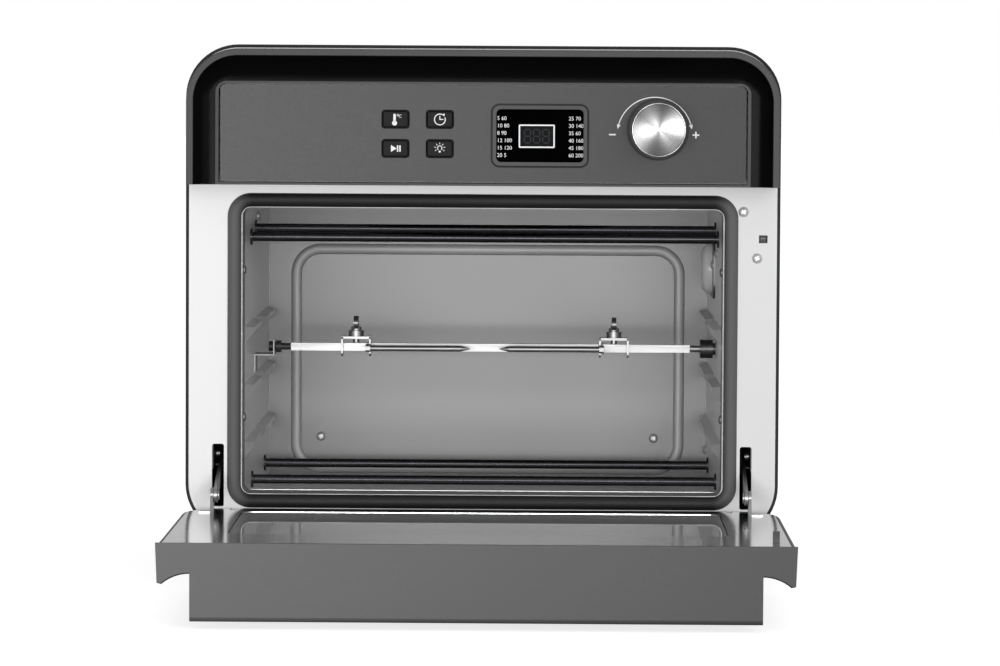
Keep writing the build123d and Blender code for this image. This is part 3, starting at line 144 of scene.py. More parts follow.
class FryerStage(bpy.types.PropertyGroup):
    """Camera and lights."""
    distance: bpy.props.FloatProperty(
        name="Camera distance", description="From the front frame to the camera",
        unit="LENGTH", default=2.897, min=0.5, max=10)
    height: bpy.props.FloatProperty(
        name="Camera height", description="Above the table", unit="LENGTH",
        default=0.3269, min=0, max=3)
    aside: bpy.props.FloatProperty(
        name="Camera aside", description="To the right of the oven's middle",
        unit="LENGTH", default=0.0365, min=-2, max=2)
    lens: bpy.props.FloatProperty(
        name="Lens", description="Focal length in millimetres on a 36 mm sensor",
        default=164.5, min=20, max=400)
    pitch: bpy.props.FloatProperty(
        name="Pitch", description="Camera tilt below the horizon", subtype="ANGLE",
        default=math.radians(3.229), min=-1, max=1)
    yaw: bpy.props.FloatProperty(
        name="Yaw", description="Camera turn to the left", subtype="ANGLE",
        default=math.radians(0.50), min=-1, max=1)
    roll: bpy.props.FloatProperty(
        name="Roll", description="Camera roll", subtype="ANGLE",
        default=math.radians(0.33), min=-1, max=1)
    key: bpy.props.FloatProperty(
        name="Key light", description="Power of the front softbox in watts",
        default=36, min=0, max=500)
    fill: bpy.props.FloatProperty(
        name="Ambient", description="Strength of the surrounding light",
        default=0.50, min=0, max=5)
    mirrored: bpy.props.FloatProperty(
        name="Mirrored light", description="Strength of the surroundings in reflections",
        default=0.55, min=0, max=5)
    floor: bpy.props.FloatProperty(
        name="Floor white", description="Lifts the floor towards white for the camera",
        default=0.76, min=0, max=2)


# ------------------------------------------------------------------ materials
def new_material(name):
    """A material with its shader node and an Object-coordinate node."""
    mat = bpy.data.materials.new(name)
    mat.use_nodes = True
    nodes = mat.node_tree.nodes
    shader = nodes["Principled BSDF"]
    coord = nodes.new("ShaderNodeTexCoord")
    return mat, mat.node_tree, shader, coord


def stretched_noise(tree, coord, scale, stretch=(1, 1, 1), detail=3.0):
    """Noise on Object coordinates, drawn out along an axis whose factor is small."""
    mapping = tree.nodes.new("ShaderNodeMapping")
    mapping.inputs["Scale"].default_value = stretch
    noise = tree.nodes.new("ShaderNodeTexNoise")
    noise.inputs["Scale"].default_value = scale
    noise.inputs["Detail"].default_value = detail
    tree.links.new(coord.outputs["Object"], mapping.inputs["Vector"])
    tree.links.new(mapping.outputs["Vector"], noise.inputs["Vector"])
    return noise


def spread(tree, source, low, high):
    """The noise value mapped to a range."""
    node = tree.nodes.new("ShaderNodeMapRange")
    node.inputs["From Min"].default_value = 0.3
    node.inputs["From Max"].default_value = 0.7
    node.inputs["To Min"].default_value = low
    node.inputs["To Max"].default_value = high
    tree.links.new(source, node.inputs["Value"])
    return node.outputs["Result"]


def tint(tree, source, colour, vary):
    """Two shades of one colour mixed by the noise value."""
    ramp = tree.nodes.new("ShaderNodeValToRGB")
    ramp.color_ramp.elements[0].position = 0.3
    ramp.color_ramp.elements[1].position = 0.7
    ramp.color_ramp.elements[0].color = (*[c * (1 - vary) for c in colour], 1)
    ramp.color_ramp.elements[1].color = (*[min(1, c * (1 + vary)) for c in colour], 1)
    tree.links.new(source, ramp.inputs["Fac"])
    return ramp.outputs["Color"]


def bump(tree, shader, source, strength, depth):
    """Lets the noise value raise and lower the surface a little."""
    node = tree.nodes.new("ShaderNodeBump")
    node.inputs["Strength"].default_value = strength
    node.inputs["Distance"].default_value = depth
    tree.links.new(source, node.inputs["Height"])
    tree.links.new(node.outputs["Normal"], shader.inputs["Normal"])


def coated(name, colour, rough, grain=1800, vary=0.04, strength=0.15, metallic=0.0,
           gloss=0.5):
    """Paint or moulded plastic: fine grain, slight changes of shade and sheen."""
    mat, tree, shader, coord = new_material(name)
    fine = stretched_noise(tree, coord, grain)
    broad = stretched_noise(tree, coord, 14, detail=2)
    tree.links.new(tint(tree, broad.outputs["Fac"], colour, vary), shader.inputs["Base Color"])
    tree.links.new(spread(tree, fine.outputs["Fac"], rough * 0.9, rough * 1.1),
                   shader.inputs["Roughness"])
    bump(tree, shader, fine.outputs["Fac"], strength, 0.00005)
    shader.inputs["Metallic"].default_value = metallic
    shader.inputs["Specular IOR Level"].default_value = gloss
    return mat


def painted_light_gradient(name, left, right, rough, metallic=0.0, gloss=0.3):
    """Satin finish with painted light and shade: its tone changes slowly from the left end of the
    body to the right.
    """
    mat, tree, shader, coord = new_material(name)
    axes = tree.nodes.new("ShaderNodeSeparateXYZ")
    tree.links.new(coord.outputs["Object"], axes.inputs["Vector"])
    across = tree.nodes.new("ShaderNodeMapRange")
    across.inputs["From Min"].default_value = -BODY_HALF
    across.inputs["From Max"].default_value = BODY_HALF
    tree.links.new(axes.outputs["X"], across.inputs["Value"])
    ramp = tree.nodes.new("ShaderNodeValToRGB")
    ramp.color_ramp.elements[0].color = (left, left, left * 1.01, 1)
    ramp.color_ramp.elements[1].color = (right, right, right * 1.01, 1)
    tree.links.new(across.outputs["Result"], ramp.inputs["Fac"])
    tree.links.new(ramp.outputs["Color"], shader.inputs["Base Color"])
    fine = stretched_noise(tree, coord, 1600)
    tree.links.new(spread(tree, fine.outputs["Fac"], rough * 0.9, rough * 1.1),
                   shader.inputs["Roughness"])
    bump(tree, shader, fine.outputs["Fac"], 0.12, 0.00005)
    shader.inputs["Metallic"].default_value = metallic
    shader.inputs["Specular IOR Level"].default_value = gloss
    return mat


ALONG, EVEN = (0.02, 1, 1), (1, 1, 1)           # lines along the width, or an even grain


def brushed(name, colour, rough, lines=EVEN, vary=0.07, strength=0.12, metallic=1.0):
    """Rolled or brushed sheet: fine lines or an even grain, and a broad soft change."""
    mat, tree, shader, coord = new_material(name)
    fine = stretched_noise(tree, coord, 1500, lines, 4)
    broad = stretched_noise(tree, coord, 9, detail=2)
    mix = tree.nodes.new("ShaderNodeMath")
    mix.operation = "MULTIPLY_ADD"
    mix.inputs[1].default_value = 0.5
    tree.links.new(fine.outputs["Fac"], mix.inputs[0])
    half = tree.nodes.new("ShaderNodeMath")
    half.operation = "MULTIPLY"
    half.inputs[1].default_value = 0.5
    tree.links.new(broad.outputs["Fac"], half.inputs[0])
    tree.links.new(half.outputs[0], mix.inputs[2])
    tree.links.new(tint(tree, mix.outputs[0], colour, vary), shader.inputs["Base Color"])
    tree.links.new(spread(tree, fine.outputs["Fac"], rough * 0.82, rough * 1.18),
                   shader.inputs["Roughness"])
    bump(tree, shader, fine.outputs["Fac"], strength, 0.00003)
    shader.inputs["Metallic"].default_value = metallic
    return mat


def clear_glass(name, colour, rough, alpha, ior=1.5):
    """Pane that reflects and shows a share of what is behind it."""
    mat, tree, shader, coord = new_material(name)
    smears = stretched_noise(tree, coord, 22, detail=5)
    shader.inputs["Base Color"].default_value = (*colour, 1)
    tree.links.new(spread(tree, smears.outputs["Fac"], rough, rough * 2.2),
                   shader.inputs["Roughness"])
    shader.inputs["IOR"].default_value = ior
    shader.inputs["Alpha"].default_value = alpha
    return mat


def dress(material, *nodes):
    """Gives CAD nodes a finish."""
    for name in nodes:
        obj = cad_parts[name]
        for spot in obj.material_slots:
            spot.material = material
        if not obj.material_slots:
            obj.data.materials.append(material)


# ------------------------------------------------------------------ modelling helpers
def nothing_selected():
    """Object mode with nothing selected, before anything new is made."""
    if bpy.context.object and bpy.context.object.mode != "OBJECT":
        bpy.ops.object.mode_set(mode="OBJECT")
    bpy.ops.object.select_all(action="DESELECT")


def settle(obj, name, material, body):
    """Names a finished piece, puts its place into its mesh and hangs it on its body."""
    nothing_selected()
    obj.select_set(True)
    bpy.context.view_layer.objects.active = obj
    bpy.ops.object.transform_apply(location=True, rotation=True, scale=True)
    obj.name = name
    obj.data.name = name
    obj.data.materials.clear()
    obj.data.materials.append(material)
    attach(obj, body)
    return obj


def edit_all():
    """Edit mode with the whole piece selected."""
    bpy.ops.object.mode_set(mode="EDIT")
    bpy.ops.mesh.select_all(action="SELECT")


def close_edit():
    """Merges doubles, turns the faces outwards and leaves edit mode."""
    bpy.ops.mesh.select_all(action="SELECT")
    bpy.ops.mesh.remove_doubles(threshold=1e-6)
    bpy.ops.mesh.normals_make_consistent(inside=False)
    bpy.ops.object.mode_set(mode="OBJECT")


def discard(*objects):
    """Deletes a helper piece or a model that was only copied."""
    nothing_selected()
    for obj in objects:
        obj.select_set(True)
    bpy.ops.object.delete()


def card(width, height, at, corner=0.0, steps=4):
    """Plane facing forward with rounded corners, left in edit mode and selected."""
    nothing_selected()
    bpy.ops.mesh.primitive_plane_add(size=1, location=at, rotation=(math.pi / 2, 0, 0))
    obj = bpy.context.object
    edit_all()
    bpy.ops.transform.resize(value=(width, 1, height), center_override=at)
    if corner:
        bpy.ops.mesh.bevel(offset=corner, offset_pct=0, segments=steps, affect="VERTICES")
        bpy.ops.mesh.select_all(action="SELECT")
    return obj


def plate(width, height, thick, at, corner=0.0, steps=4):
    """Plate facing forward: a plane with rounded corners, drawn out towards the front."""
    obj = card(width, height, at, corner, steps)
    bpy.ops.mesh.extrude_region_move(TRANSFORM_OT_translate={"value": (0, -thick, 0)})
    close_edit()
    return obj


def frame_ring(width, height, rim, thick, at, corner, steps=4):
    """Rectangular ring facing forward: a rounded plane inset, opened and drawn out."""
    obj = card(width, height, at, corner, steps)
    bpy.ops.mesh.inset(thickness=rim)
    bpy.ops.mesh.delete(type="FACE")
    bpy.ops.mesh.select_all(action="SELECT")
    bpy.ops.mesh.extrude_region_move(TRANSFORM_OT_translate={"value": (0, -thick, 0)})
    close_edit()
    return obj


def turned(at, steps, sides=48):
    """Round piece facing forward: a disc drawn out step by step (radius, forward of at)."""
    nothing_selected()
    bpy.ops.mesh.primitive_circle_add(vertices=sides, radius=steps[0][0], fill_type="NGON",
                                      location=at, rotation=(math.pi / 2, 0, 0))
    obj = bpy.context.object
    edit_all()
    out = last = steps[0][1]
    radius = steps[0][0]
    bpy.ops.transform.translate(value=(0, -out, 0))
    for wanted, out in steps[1:]:
        bpy.ops.mesh.extrude_region_move(TRANSFORM_OT_translate={"value": (0, last - out, 0)})
        bpy.ops.transform.resize(value=(wanted / radius, 1, wanted / radius),
                                 center_override=(at[0], at[1] - out, at[2]))
        radius, last = wanted, out
    close_edit()
    bpy.ops.object.shade_smooth_by_angle(angle=math.radians(28))
    return obj


def pointer(at, radius, thick, turn, stretch=(1, 1)):
    """Flat triangle facing forward, widened and heightened, then turned in its plane."""
    nothing_selected()
    bpy.ops.mesh.primitive_circle_add(vertices=3, radius=radius, fill_type="NGON",
                                      location=at, rotation=(math.pi / 2, 0, 0))
    obj = bpy.context.object
    edit_all()
    bpy.ops.transform.resize(value=(stretch[0], 1, stretch[1]), center_override=at)
    bpy.ops.mesh.extrude_region_move(TRANSFORM_OT_translate={"value": (0, -thick, 0)})
    close_edit()
    tip(obj, turn)
    return obj


def half_round_loop(width, height, at, corner, thick, depth):
    """Rounded loop facing forward: thickened into a tube, its back half cut off."""
    card(width, height, at, corner, 12)
    bpy.ops.mesh.delete(type="ONLY_FACE")
    bpy.ops.object.mode_set(mode="OBJECT")
    bpy.ops.object.transform_apply(location=True, rotation=True, scale=True)
    bpy.ops.object.convert(target="CURVE")
    obj = bpy.context.object
    obj.data.dimensions = "3D"
    obj.data.bevel_depth = thick / 2
    obj.data.bevel_resolution = 6
    bpy.ops.object.convert(target="MESH")
    obj = bpy.context.object
    edit_all()
    bpy.ops.transform.resize(value=(1, 2 * depth / thick, 1), center_override=at)
    bpy.ops.mesh.bisect(plane_co=at, plane_no=(0, 1, 0), clear_outer=True, use_fill=True)
    close_edit()
    bpy.ops.object.shade_smooth_by_angle(angle=math.radians(35))
    return obj


def strip(at, radius, width, start, sweep, thick, steps=32):
    """Curved strip facing forward: a short edge spun about a centre, then drawn out."""
    nothing_selected()
    bpy.ops.mesh.primitive_plane_add(size=1, location=at, rotation=(math.pi / 2, 0, 0))
    obj = bpy.context.object
    edit_all()
    bpy.ops.transform.resize(value=(width, 1, 0), center_override=at)
    bpy.ops.mesh.remove_doubles(threshold=1e-6)
    bpy.ops.transform.translate(value=(radius, 0, 0))
    bpy.ops.mesh.spin(steps=steps, angle=math.radians(sweep), center=at, axis=(0, 1, 0))
    bpy.ops.mesh.select_all(action="SELECT")
    bpy.ops.mesh.remove_doubles(threshold=1e-6)
    bpy.ops.mesh.extrude_region_move(TRANSFORM_OT_translate={"value": (0, -thick, 0)})
    close_edit()
    tip(obj, start)
    return obj


def tip(obj, degrees):
    """Turns a finished shape in the plane of the front, anticlockwise seen from the front."""
    nothing_selected()
    obj.select_set(True)
    bpy.context.view_layer.objects.active = obj
    obj.rotation_mode = "XYZ"
    turn = Matrix.Rotation(math.radians(-degrees), 3, "Y")
    obj.rotation_euler = (turn @ obj.rotation_euler.to_matrix()).to_euler()
    bpy.ops.object.transform_apply(location=False, rotation=True, scale=False)


def copy_to(obj, shift, degrees=0.0):
    """Copy of a piece, moved and, if wanted, turned in the plane of the front."""
    nothing_selected()
    obj.select_set(True)
    bpy.context.view_layer.objects.active = obj
    bpy.ops.object.duplicate_move(TRANSFORM_OT_translate={"value": shift})
    twin = bpy.context.object
    if degrees:
        tip(twin, degrees)
    return twin


def placed(model, place, turn):
    """Copy of a piece modelled at the origin, turned to face another way and moved."""
    twin = copy_to(model, (0, 0, 0))
    twin.rotation_mode = "XYZ"
    bpy.ops.object.transform_apply(location=False, rotation=True, scale=True)
    twin.rotation_euler = turn
    twin.location = place
    bpy.ops.object.transform_apply(location=True, rotation=True, scale=True)
    return twin


def joined(objects):
    """One piece from several."""
    nothing_selected()
    for obj in objects:
        obj.select_set(True)
    bpy.context.view_layer.objects.active = objects[0]
    bpy.ops.object.join()
    return bpy.context.object


def wording(text, size, at, thick=0.00005, align="CENTER"):
    """Flat letters or numbers facing forward, made into a mesh."""
    nothing_selected()
    bpy.ops.object.text_add(location=at, rotation=(math.pi / 2, 0, 0))
    obj = bpy.context.object
    obj.data.body = text
    obj.data.size = size
    obj.data.extrude = thick
    obj.data.align_x = align
    obj.data.align_y = "CENTER"
    obj.data.resolution_u = 3
    bpy.ops.object.convert(target="MESH")
    return bpy.context.object


class FRYER_OT_stage(bpy.types.Operator):
    """Floor, surroundings, lights and camera"""
    bl_idname = "fryer.stage"
    bl_label = "Stage"

    def execute(self, context):
        scene = context.scene
        setup = scene.fryer_stage
        scene.view_settings.view_transform = "Standard"
        self.floor(setup)
        self.surroundings(scene, setup)
        self.lights(setup)
        self.camera(scene, setup)
        return {"FINISHED"}

    def floor(self, setup):
        """Pale matt floor that only the camera sees lifted towards white"""
        nothing_selected()
        bpy.ops.mesh.primitive_plane_add(size=30, location=(0, 6, 0))
        floor = bpy.context.object
        floor.name = "floor"
        bpy.ops.object.transform_apply(location=True, rotation=True, scale=True)
        mat = bpy.data.materials.new("floor")
        mat.use_nodes = True
        tree = mat.node_tree
        shader = tree.nodes["Principled BSDF"]
        shader.inputs["Base Color"].default_value = (0.7, 0.7, 0.7, 1)
        shader.inputs["Roughness"].default_value = 0.9
        shader.inputs["Specular IOR Level"].default_value = 0.0
        glow = tree.nodes.new("ShaderNodeEmission")
        glow.inputs["Color"].default_value = (1, 1, 1, 1)
        path = tree.nodes.new("ShaderNodeLightPath")
        scaled = tree.nodes.new("ShaderNodeMath")
        scaled.operation = "MULTIPLY"
        scaled.inputs[1].default_value = setup.floor
        both = tree.nodes.new("ShaderNodeAddShader")
        tree.links.new(path.outputs["Is Camera Ray"], scaled.inputs[0])
        tree.links.new(scaled.outputs[0], glow.inputs["Strength"])
        tree.links.new(shader.outputs[0], both.inputs[0])
        tree.links.new(glow.outputs[0], both.inputs[1])
        tree.links.new(both.outputs[0], tree.nodes["Material Output"].inputs["Surface"])
        floor.data.materials.append(mat)

    def surroundings(self, scene, setup):
        """White behind the object, softer as light on it and in its reflections"""
        world = bpy.data.worlds.new("surroundings")
        scene.world = world
        world.use_nodes = True
        tree = world.node_tree
        back = tree.nodes["Background"]
        back.inputs["Color"].default_value = (1, 1, 1, 1)
        path = tree.nodes.new("ShaderNodeLightPath")
        direct = tree.nodes.new("ShaderNodeMath")
        direct.operation = "MAXIMUM"
        white = tree.nodes.new("ShaderNodeMapRange")
        white.inputs["To Min"].default_value = setup.fill
        white.inputs["To Max"].default_value = 1.0
        sheen = tree.nodes.new("ShaderNodeMapRange")
        sheen.inputs["To Max"].default_value = setup.mirrored
        tree.links.new(path.outputs["Is Camera Ray"], direct.inputs[0])
        tree.links.new(path.outputs["Is Transmission Ray"], direct.inputs[1])
        tree.links.new(direct.outputs[0], white.inputs["Value"])
        tree.links.new(white.outputs["Result"], sheen.inputs["To Min"])
        tree.links.new(path.outputs["Is Glossy Ray"], sheen.inputs["Value"])
        tree.links.new(sheen.outputs["Result"], back.inputs["Strength"])

    def lights(self, setup):
        """A softbox to the right and a wide low one in front, which reaches into the oven"""
        nothing_selected()
        for name, place, size, tall, power in (
                ("key", (1.5, FRAME_Y - 2.6, 0.95), 1.6, 1.6, setup.key * 0.5),
                ("front", (-0.3, FRAME_Y - 3.0, 0.215), 2.4, 0.40, setup.key * 1.11)):
            bpy.ops.object.light_add(type="AREA", location=place)
            lamp = bpy.context.object
            lamp.name = name
            lamp.data.shape = "RECTANGLE"
            lamp.data.size = size
            lamp.data.size_y = tall
            lamp.data.energy = power
            aim = Vector((0, FRAME_Y, 0.16)) - Vector(place)
            lamp.rotation_euler = aim.to_track_quat("-Z", "Y").to_euler()

    def camera(self, scene, setup):
        """Long lens that looks slightly down at the front"""
        cam_data = bpy.data.cameras.new("camera")
        cam = bpy.data.objects.new("camera", cam_data)
        scene.collection.objects.link(cam)
        cam_data.lens = setup.lens
        cam_data.sensor_width = 36
        cam_data.clip_end = 100
        turn = (Matrix.Rotation(setup.yaw, 4, "Z")
                @ Matrix.Rotation(math.pi / 2 - setup.pitch, 4, "X")
                @ Matrix.Rotation(setup.roll, 4, "Z"))
        cam.matrix_world = (Matrix.Translation(
            (setup.aside, FRAME_Y - setup.distance, setup.height)) @ turn)
        scene.camera = cam


class FRYER_OT_casing(bpy.types.Operator):
    """Wrap, rear cover, base, feet, front frame and its fasteners"""
    bl_idname = "fryer.casing"
    bl_label = "Casing"

    def execute(self, context):
        look = context.scene.fryer_finishes
        enamel = coated("black enamel", look.wrap, 0.42, 1400, 0.1, 0.2, gloss=0.15)
        # painted shade: the front frame's pale coating darkens towards the right
        pale = painted_light_gradient("pale coating", look.pale[0], look.pale[0] * 0.82, 0.5)
        dress(enamel, "outer_wrap", "rear_cover", "base_pan")
        dress(pale, "front_frame")
        dress(coated("foot rubber", (0.02, 0.02, 0.02), 0.75, 900), "feet")
        dress(coated("black fittings", (0.018, 0.018, 0.018), 0.45), "cord_gland",
              "door_switch", "switch_peg")
        dress(coated("switch plunger", (0.02, 0.02, 0.02), 0.45), "switch_plunger")
        self.nose(coated("worn plunger", (0.2, 0.2, 0.2), 0.5))
        zinc = brushed("zinc steel", (0.34, 0.34, 0.345), 0.34)
        dress(zinc, "hinge_brackets", "arm_brackets", "hinge_arm_left", "hinge_arm_right")
        dress(brushed("guide steel", (0.10, 0.10, 0.10), 0.5), "arm_guides")
        bright = brushed("bright screws", (0.62, 0.62, 0.62), 0.25)
        dress(bright, "hinge_pins")
        plated = brushed("plated screws", (0.62, 0.62, 0.62), 0.4, EVEN, 0.04, 0.05, 0.6)
        self.screws(plated)
        return {"FINISHED"}

    def nose(self, plastic):
        """Lighter bar across the tip of the door switch's plunger"""
        tip_at = middle("switch_plunger")
        tip_at.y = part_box("switch_plunger")[0].y
        bar = plate(0.0030, 0.0007, 0.0002, (tip_at.x, tip_at.y, tip_at.z + 0.0003))
        settle(bar, "plunger_nose", plastic, "plunger")

    def screws(self, plated):
        """Domed heads with a cross cut into them, in place of the plain ones"""
        x, z = FRONT_SCREWS[0]
        at = (x, FRAME_Y, z)
        washer = turned(at, ((0.0033, -0.0006), (0.0033, 0.0002), (0.0030, 0.0004),
                             (0.0028, 0.0007), (0.0024, 0.0013), (0.0017, 0.0017),
                             (0.0008, 0.0019)), 32)
        cutter = plate(0.0034, 0.0009, 0.003, (at[0], at[1] - 0.0007, at[2]), 0.0003, 2)
        for angle in (40, 90):
            tip(cutter, angle)
            nothing_selected()
            washer.select_set(True)
            bpy.context.view_layer.objects.active = washer
            cut = washer.modifiers.new("cross", "BOOLEAN")
            cut.operation = "DIFFERENCE"
            cut.object = cutter
            bpy.ops.object.modifier_apply(modifier=cut.name)
        discard(cutter)
        heads = [washer]
        home = Vector(at)
        for k, (x, z) in enumerate(FRONT_SCREWS[1:]):
            heads.append(copy_to(washer, Vector((x, FRAME_Y, z)) - home, 25 * (k + 1)))
        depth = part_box("cavity_rear_wall")[1].y - SHEET
        for k, (x, z) in enumerate(REAR_SCREWS):
            heads.append(copy_to(washer, Vector((x, depth, z)) - home, 35 * k))
        for side, d, z in WALL_SCREWS:
            seat = LINER[0].x + SHEET + (LAMP_RIM if abs(d - LAMP_DEPTH) < LAMP_HALF else 0)
            heads.append(placed(washer, (-side * seat, FRAME_Y + d, z),
                                (0, 0, -side * math.pi / 2)))
        screws = settle(joined(heads), "cross_head_screws", plated, "oven")
        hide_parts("screws")


class FRYER_OT_fascia(bpy.types.Operator):
    """Grey rim, black hollow band, control panel, display and signs"""
    bl_idname = "fryer.fascia"
    bl_label = "Fascia"

    def execute(self, context):
        look = context.scene.fryer_finishes
        grey = coated("grey satin", look.grey, 0.55, 1600, 0.04, 0.12, gloss=0.05)
        black = coated("gloss black", look.black, 0.22, 1200, 0.05, 0.02, gloss=0.035)
        dress(grey, "fascia_rim")
        dress(black, "fascia_band", "door_band")
        # painted shade: the panel sheet and the display bezel darken towards the right
        dress(painted_light_gradient("panel sheet", look.panel[0] * 1.04, look.panel[0] * 0.56, 0.45, 0.3),
              "control_panel", "display_bezel")
        dress(coated("display window", (0.001, 0.001, 0.0012), 0.1, 600, 0.02, 0.0, gloss=0.0),
              "display_lens")
        dress(coated("board green", (0.02, 0.16, 0.06), 0.5), "control_board")
        dress(coated("button black", (0.006, 0.006, 0.007), 0.3, 1500, 0.05, 0.05, gloss=0.06),
              "button_temperature", "button_time", "button_start", "button_light")

        ink = coated("printed signs", look.sign, 0.5, 900, 0.02, 0.0)
        sizes = context.scene.fryer_sizes
        self.display(ink, sizes.numbers)
        self.signs(ink, sizes.arc)
        for node, icon in (("button_temperature", self.temperature_icon),
                           ("button_time", self.time_icon), ("button_start", self.start_icon),
                           ("button_light", self.light_icon)):
            mid = middle(node)
            icon(ink, Vector((mid.x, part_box(node)[0].y - PROUD, mid.z)))
        return {"FINISHED"}

    def display(self, ink, height):
        """Small screen with a rim, three dim digits and two columns of numbers"""
        y = LENS_Y - PROUD
        mid = Vector((LENS.x, y, LENS.z)) + SCREEN_SHIFT
        screen = coated("screen grey", (0.014, 0.015, 0.016), 0.3, 700, 0.06, 0.0, gloss=0.0)
        dim = coated("dim digits", (0.045, 0.047, 0.05), 0.4, 700, 0.05, 0.0, gloss=0.0)
        settle(plate(*SCREEN, INK, mid, 0.0004, 2), "display_screen", screen, "oven")
        settle(frame_ring(*SCREEN_RIM, 0.0009, 2 * INK, mid, 0.0008), "display_rim", ink,
               "oven")
        first = Vector((mid.x - DIGIT_STEP, y - BAR_T, mid.z))
        bar = plate(0.0032, BAR, BAR_T, first + Vector((0, 0, DIGIT_HALF)), BAR_R, 1)
        bars = [bar, copy_to(bar, (0, 0, -DIGIT_HALF)), copy_to(bar, (0, 0, -2 * DIGIT_HALF))]
        post = plate(BAR, 0.0034, BAR_T, first + Vector((-DIGIT_SIDE, 0, DIGIT_HALF / 2)),
                     BAR_R, 1)
        across = 2 * DIGIT_SIDE
        bars += [post, copy_to(post, (across, 0, 0)), copy_to(post, (0, 0, -DIGIT_HALF)),
                 copy_to(post, (across, 0, -DIGIT_HALF))]
        digit = joined(bars)
        digits = [digit, copy_to(digit, (DIGIT_STEP, 0, 0)),
                  copy_to(digit, (2 * DIGIT_STEP, 0, 0))]
        settle(joined(digits), "display_digits", dim, "oven")
        numbers = []
        columns = (("5 60", "10 80", "8 90", "12 100", "15 120", "20 5"),
                   ("25 70", "30 140", "35 60", "40 160", "45 180", "60 200"))
        for x, column in zip(NUMBER_COLUMNS, columns):
            for row, text in enumerate(column):
                at = (LENS.x + x, y, LENS.z + NUMBER_ROWS - NUMBER_STEP * row)
                numbers.append(wording(text, height, at, align="LEFT"))
        settle(joined(numbers), "display_numbers", ink, "oven")

    def signs(self, ink, radius):
        """Arc with two arrow heads round the knob, a minus and a plus"""
        y = PANEL[0].y - PROUD
        centre = Vector((KNOB.x, y, KNOB.z)) + SIGN_SHIFT
        pieces = [strip(centre, radius, LINE, 15, 150, INK, 48)]
        for side in (-1, 1):
            tipped = centre + Vector((side * (radius - 0.0007), 0, 0.0054))
            pieces.append(pointer(tipped, 0.0016, INK, 180 + side * 13, (0.85, 1.15)))
        for x in (MINUS_X, PLUS_X):
            pieces.append(plate(STROKE_LONG, STROKE, INK, centre + Vector((x, 0, 0))))
        pieces.append(plate(STROKE, STROKE_LONG, INK * 1.125, centre + Vector((PLUS_X, 0, 0))))
        settle(joined(pieces), "knob_signs", ink, "oven")

    def temperature_icon(self, ink, at):
        """Thermometer with a degree sign"""
        stem = plate(0.0016, 0.0052, INK, at + Vector((-0.0006, 0, 0.0008)), 0.0006, 3)
        bulb = turned(at + Vector((-0.0006, 0, -0.0024)), ((0.0016, 0), (0.0016, INK)), 20)
        ring = strip(at + Vector((0.0014, 0, 0.0026)), 0.0005, 0.0003, 0, 360, INK, 16)
        letter = wording("C", 0.0028, at + Vector((0.0029, 0, 0.0018)), INK / 2)
        settle(joined([stem, bulb, ring, letter]), "sign_temperature", ink,
               "temperature_key")

    def time_icon(self, ink, at):
        """Clock face with an arrow head on its rim"""
        ring = strip(at, 0.0034, LINE, 60, 320, INK, 36)
        short = plate(0.0024, LINE, INK, at + Vector((0.001, 0, 0)))
        tall = plate(LINE, 0.0024, INK * 1.1, at + Vector((0, 0, 0.001)))
        arrow = pointer(at + Vector((0.0024, 0, 0.0029)), 0.0011, INK, -30)
        settle(joined([ring, short, tall, arrow]), "sign_time", ink, "time_key")

    def start_icon(self, ink, at):
        """Start and pause"""
        arrow = pointer(at + Vector((-0.0016, 0, 0)), 0.0024, INK, -90, (1.05, 1))
        bar = plate(STROKE, 0.0040, INK, at + Vector((0.0014, 0, 0)))
        settle(joined([arrow, bar, copy_to(bar, (0.0015, 0, 0))]), "sign_start", ink,
               "start_key")

    def light_icon(self, ink, at):
        """Bulb with rays"""
        ring = strip(at + Vector((0, 0, 0.0004)), 0.0014, 0.0005, -50, 280, INK, 28)
        base = plate(0.0013, 0.0011, INK, at + Vector((0, 0, -0.0018)), 0.0002, 1)
        rays = []
        for angle in range(-30, 211, 40):
            a = math.radians(angle)
            ray = plate(0.0011, 0.0004, INK, at + Vector((0, 0, 0.0004)))
            tip(ray, angle)
            rays.append(copy_to(ray, (0.0029 * math.cos(a), 0, 0.0029 * math.sin(a))))
            discard(ray)
        settle(joined([ring, base] + rays), "sign_light", ink, "light_key")


